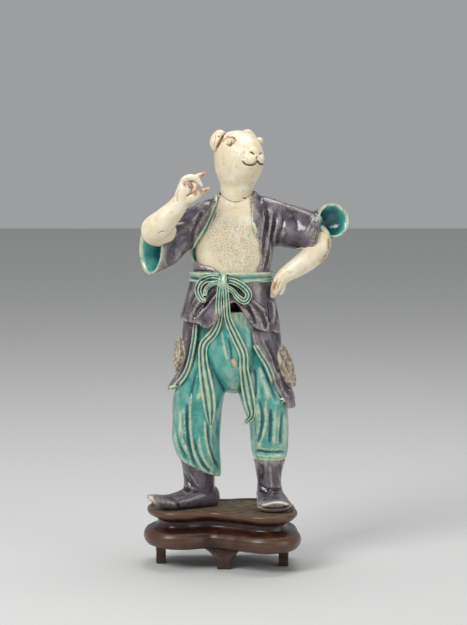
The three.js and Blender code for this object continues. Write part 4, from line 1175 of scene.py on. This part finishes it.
class Finish:
    """A material with its shader, and short ways to the values that every finish here reads."""

    def __init__(self, name, rough, coat=0.0):
        self.material = bpy.data.materials.new(name)
        self.material.use_nodes = True
        self.tree = self.material.node_tree
        self.shader = self.tree.nodes["Principled BSDF"]
        self.shader.inputs["Roughness"].default_value = rough
        self.shader.inputs["Coat Weight"].default_value = coat
        self.shader.inputs["Coat Roughness"].default_value = 0.08
        self.place = self.add("ShaderNodeTexCoord").outputs["Object"]

    def add(self, kind, inputs=None, **settings):
        return add(self.tree, kind, inputs, **settings)

    def value(self, name):
        return self.add("ShaderNodeAttribute", attribute_name=name).outputs["Fac"]

    def noise(self, size, detail=3, stretch=(1, 1, 1), rough=0.55):
        """Cloudy values from 0 to 1 with lumps of a size in millimetres, stretched along x, y or z."""
        scale = [1 / (size * MM * part) for part in stretch]
        mapped = self.add("ShaderNodeMapping", {"Vector": self.place, "Scale": scale})
        return self.add("ShaderNodeTexNoise", {
            "Vector": mapped.outputs[0], "Scale": 1.0, "Detail": detail, "Roughness": rough,
        }).outputs["Fac"]

    def ramp(self, value, low, high):
        """0 below low, 1 above high, and smooth between. With low above high it falls instead."""
        return self.add("ShaderNodeMapRange", {
            "Value": value, "From Min": low, "From Max": high,
        }, interpolation_type="SMOOTHSTEP").outputs["Result"]

    def times(self, a, b):
        return self.add("ShaderNodeMath", {0: a, 1: b}, operation="MULTIPLY").outputs[0]

    def plus(self, a, b):
        return self.add("ShaderNodeMath", {0: a, 1: b}, operation="ADD").outputs[0]

    def blend(self, share, first, second):
        """A colour between two others. Colours are codes or sockets."""
        first, second = (hex_colour(c) if isinstance(c, str) else c for c in (first, second))
        return self.add("ShaderNodeMix", {"Factor": share, 6: first, 7: second}, data_type="RGBA").outputs[2]

    def finish(self, colour, bumps, depth):
        """Colour into the shader, and fine roughness of the skin as a bump of a depth in millimetres."""
        bump = self.add("ShaderNodeBump", {"Height": bumps, "Distance": depth * MM, "Strength": 1.0})
        self.tree.links.new(colour, self.shader.inputs["Base Color"])
        self.tree.links.new(bump.outputs["Normal"], self.shader.inputs["Normal"])
        return self.material


# %% Cream biscuit
# Bare porcelain clay under a thin wash: warm cream, with rusty stains, iron specks and grey peppering.
clay = Finish("cream_biscuit", rough=0.38)
cream = clay.blend(clay.ramp(clay.noise(9), 0.35, 0.68), "#e6d6b4", "#efe6d0")
cream = clay.blend(clay.ramp(clay.noise(3.2, 4), 0.56, 0.72), cream, "#d9c49b")
pit = clay.ramp(clay.value("fine_relief"), -0.02, -0.16)
cream = clay.blend(clay.times(pit, 0.75), cream, "#8a6a48")
hollow = clay.ramp(clay.value("broad_relief"), -0.3, -1.5)
cream = clay.blend(clay.times(hollow, 0.4), cream, "#b9a27c")
rust = clay.times(clay.value("toasted"), clay.ramp(clay.noise(2.2, 4), 0.3, 0.62))
cream = clay.blend(clay.times(rust, 0.85), cream, "#9a5c38")
ash = clay.ramp(clay.noise(0.55, 2, rough=0.7), 0.47, 0.6)
cream = clay.blend(clay.times(clay.times(clay.value("peppered"), ash), 0.6), cream, "#70695f")
rust_specks = clay.ramp(clay.noise(0.7, 1), 0.715, 0.76)
cream = clay.blend(clay.times(rust_specks, 0.8), cream, "#8c5632")
dark_specks = clay.ramp(clay.noise(0.45, 1), 0.74, 0.78)
cream = clay.blend(clay.times(dark_specks, 0.75), cream, "#3c2f28")
# Painted shade: the mouth, the nostrils and a few small cuts are darkened to dark brown.
cream = clay.blend(clay.value("cut_shade"), cream, "#4a3326")
biscuit = clay.finish(cream, clay.noise(0.8, 3), 0.05)

# %% Aubergine glaze
# Manganese glaze over clay: dark violet glass in the folds, thin and buff where it ran off the ridges.
# Inside the sleeves the glaze is turquoise, and the two side pieces were left almost bare.
robe_glaze = Finish("aubergine_glaze", rough=0.24, coat=0.4)


def aubergine(finish):
    """The colour of manganese glaze on a mesh with relief values."""
    tone = finish.blend(finish.ramp(finish.noise(6, 4, (1, 1, 2.4)), 0.36, 0.66), "#3d3440", "#655a66")
    tone = finish.blend(finish.times(finish.ramp(finish.noise(1.3, 3), 0.5, 0.7), 0.3), tone, "#7c7279")
    deep = finish.ramp(finish.value("broad_relief"), 0.0, -0.8)
    tone = finish.blend(finish.times(deep, 0.85), tone, "#221b28")
    pit = finish.ramp(finish.value("fine_relief"), -0.03, -0.18)
    tone = finish.blend(finish.times(pit, 0.7), tone, "#1a141e")
    crest = finish.ramp(finish.value("broad_relief"), 0.15, 0.95)
    crest = finish.times(crest, finish.ramp(finish.noise(2.4, 4, (1, 1, 3)), 0.34, 0.58))
    tone = finish.blend(finish.times(crest, 0.75), tone, "#9a8f8b")
    thin = finish.times(finish.ramp(finish.value("fine_relief"), 0.05, 0.2), finish.ramp(finish.noise(1.6, 3), 0.4, 0.6))
    tone = finish.blend(finish.times(thin, 0.6), tone, "#b0a598")
    specks = finish.ramp(finish.noise(0.6, 1), 0.7, 0.74)
    return finish.blend(finish.times(specks, 0.5), tone, "#b7aaa0")


def turquoise(finish):
    """The colour of copper glaze on a mesh with relief values."""
    tone = finish.blend(finish.ramp(finish.noise(5, 4, (1, 1, 2)), 0.34, 0.68), "#1f8580", "#58a79a")
    tone = finish.blend(finish.times(finish.ramp(finish.noise(1.5, 3), 0.54, 0.72), 0.4), tone, "#86b8a8")
    deep = finish.ramp(finish.value("broad_relief"), 0.0, -0.9)
    tone = finish.blend(finish.times(deep, 0.85), tone, "#0b5a62")
    pit = finish.ramp(finish.value("fine_relief"), -0.04, -0.2)
    tone = finish.blend(finish.times(pit, 0.7), tone, "#083f4a")
    crest = finish.ramp(finish.value("broad_relief"), 0.2, 1.0)
    crest = finish.times(crest, finish.ramp(finish.noise(2.4, 4, (1, 1, 3)), 0.3, 0.58))
    tone = finish.blend(finish.times(crest, 0.85), tone, "#c0cdb2")
    thin = finish.times(finish.ramp(finish.value("fine_relief"), 0.05, 0.2), finish.ramp(finish.noise(1.4, 3), 0.35, 0.6))
    tone = finish.blend(finish.times(thin, 0.7), tone, "#c9cfb0")
    specks = finish.ramp(finish.noise(0.6, 1), 0.7, 0.74)
    return finish.blend(finish.times(specks, 0.6), tone, "#b08a5e")


tone = aubergine(robe_glaze)
tone = robe_glaze.blend(robe_glaze.value("lining"), tone, turquoise(robe_glaze))
tan = robe_glaze.blend(robe_glaze.ramp(robe_glaze.noise(2.5, 4), 0.4, 0.64), "#8b7d6b", "#cfc3ac")
tone = robe_glaze.blend(robe_glaze.value("dish"), tone, tan)
manganese = robe_glaze.finish(tone, robe_glaze.noise(1.6, 3), 0.06)

# %% Aubergine boots
# The same manganese glaze, but it stops short of the soles, where cream clay shows.
boot_glaze = Finish("boot_glaze", rough=0.2, coat=0.5)
tone = boot_glaze.blend(boot_glaze.times(boot_glaze.value("sole"), 0.95), aubergine(boot_glaze), "#ded3c0")
boot_finish = boot_glaze.finish(tone, boot_glaze.noise(1.6, 3), 0.05)

# %% Turquoise glaze
# Copper glaze: blue-green glass that pools deep teal in the folds and breaks to cream on the ridges.
trouser_glaze = Finish("turquoise_glaze", rough=0.2, coat=0.5)
tone = trouser_glaze.blend(trouser_glaze.value("blister"), turquoise(trouser_glaze), "#d9a47c")
copper = trouser_glaze.finish(tone, trouser_glaze.noise(1.6, 3), 0.06)

# %% Celadon strips
# On the combed strips the same copper glaze is thin. Only the grooves hold enough of it to look blue.
strip_glaze = Finish("celadon_strips", rough=0.26, coat=0.4)
tone = strip_glaze.blend(strip_glaze.ramp(strip_glaze.noise(4, 4), 0.36, 0.66), "#8fb39c", "#b5c5a6")
groove = strip_glaze.ramp(strip_glaze.value("broad_relief"), 0.05, -0.3)
tone = strip_glaze.blend(strip_glaze.times(groove, 0.9), tone, "#3c827f")
pit = strip_glaze.ramp(strip_glaze.value("fine_relief"), -0.02, -0.12)
tone = strip_glaze.blend(strip_glaze.times(pit, 0.7), tone, "#1d5a60")
ridge = strip_glaze.ramp(strip_glaze.value("broad_relief"), 0.2, 0.55)
ridge = strip_glaze.times(ridge, strip_glaze.ramp(strip_glaze.noise(1.8, 4), 0.3, 0.55))
tone = strip_glaze.blend(strip_glaze.times(ridge, 0.8), tone, "#d3d4b6")
specks = strip_glaze.ramp(strip_glaze.noise(0.6, 1), 0.7, 0.74)
tone = strip_glaze.blend(strip_glaze.times(specks, 0.6), tone, "#8f7048")
celadon = strip_glaze.finish(tone, strip_glaze.noise(1.2, 3), 0.05)

# %% Rosewood
# Waxed rosewood: dark red-brown with black streaks along the grain. Its sunk top is dry, dusty and ochre. The
# ridges of the mouldings carry a painted highlight, and the feet a painted shade that darkens towards the floor.
wood = Finish("waxed_rosewood", rough=0.3)
streaks = wood.noise(0.9, 5, (30, 1.6, 1), 0.6)
tone = wood.blend(wood.ramp(streaks, 0.35, 0.68), "#1d0f0c", "#43231a")
tone = wood.blend(wood.times(wood.ramp(wood.noise(7, 3), 0.45, 0.7), 0.4), tone, "#5a3324")
pores = wood.ramp(wood.noise(0.35, 2, (12, 1, 1)), 0.62, 0.7)
tone = wood.blend(wood.times(pores, 0.6), tone, "#120907")
# Painted highlight: the ridges of the mouldings are painted lighter.
painted_ridge_highlight = wood.ramp(wood.value("broad_relief"), 0.25, 0.8)
tone = wood.blend(wood.times(painted_ridge_highlight, 0.45), tone, "#7a5a44")
upright = wood.add("ShaderNodeSeparateXYZ", {0: wood.add("ShaderNodeNewGeometry").outputs["Normal"]}).outputs["Z"]
height = wood.add("ShaderNodeSeparateXYZ", {0: wood.place}).outputs["Z"]
sunk = wood.times(wood.ramp(upright, 0.6, 0.9), wood.value("recess"))
dust = wood.blend(wood.ramp(wood.noise(5, 4), 0.35, 0.65), "#4a3d2c", "#6f5f48")
tone = wood.blend(sunk, tone, dust)
# Painted shade: the feet grow darker towards the floor.
low = wood.ramp(height, 0.012, 0.004)
tone = wood.blend(wood.times(low, 0.6), tone, "#0e0807")
rough = wood.blend(sunk, "#959595", "#e6e6e6")
wood.tree.links.new(wood.add("ShaderNodeMapRange", {"Value": sunk, "To Min": 0.3, "To Max": 0.75}).outputs[0],
                    wood.shader.inputs["Roughness"])
rosewood = wood.finish(tone, streaks, 0.08)

# %% Dressing the pieces
for piece, material, slot, node in [
    (bare, biscuit, "glazed_porcelain", "porcelain_figure"),
    (robe, manganese, "glazed_porcelain", "porcelain_figure"),
    (edging, celadon, "glazed_porcelain", "porcelain_figure"),
    (trousers, copper, "glazed_porcelain", "porcelain_figure"),
    (right_boot, boot_finish, "glazed_porcelain", "porcelain_figure"),
    (left_boot, boot_finish, "glazed_porcelain", "porcelain_figure"),
    (sash, celadon, "glazed_porcelain", "porcelain_figure"),
    (stand, rosewood, "rosewood", "wooden_stand"),
]:
    piece.data.materials.clear()
    piece.data.materials.append(material)
    only(piece)
    bpy.ops.object.shade_smooth()
    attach(piece, "root")
    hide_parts(node)
    print(piece.name, "has", sum(len(face.vertices) - 2 for face in piece.data.polygons), "triangles")

# %% Floor and light
bpy.ops.mesh.primitive_plane_add(size=6)
floor = bpy.context.object
floor.name = "floor"
paper = Finish("pale_floor", rough=0.85)
paper.shader.inputs["Base Color"].default_value = hex_colour("#cfcfcd")
floor.data.materials.append(paper.material)

world = bpy.data.worlds.new("studio")
bpy.context.scene.world = world
world.use_nodes = True
world.node_tree.nodes["Background"].inputs["Color"].default_value = hex_colour("#d6d8da")
world.node_tree.nodes["Background"].inputs["Strength"].default_value = 0.5


def softbox(name, at, size, watts):
    """A soft area light that points at the middle of the figure."""
    aim = Vector((-0.007, 0.007, 0.15))
    turn = (aim - Vector(at)).to_track_quat("-Z", "Y").to_euler()
    bpy.ops.object.light_add(type="AREA", location=at, rotation=turn)
    lamp = bpy.context.object
    lamp.name = name
    lamp.data.shape = "RECTANGLE"
    lamp.data.size, lamp.data.size_y = size
    lamp.data.energy = watts
    return lamp


softbox("key", (-0.7, -0.8, 1.0), (0.6, 0.6), 12)
softbox("fill", (0.9, -0.7, 0.4), (0.7, 0.7), 3)
softbox("top", (0.1, 0.2, 1.2), (0.8, 0.5), 6)
bpy.context.scene.view_settings.view_transform = "Standard"
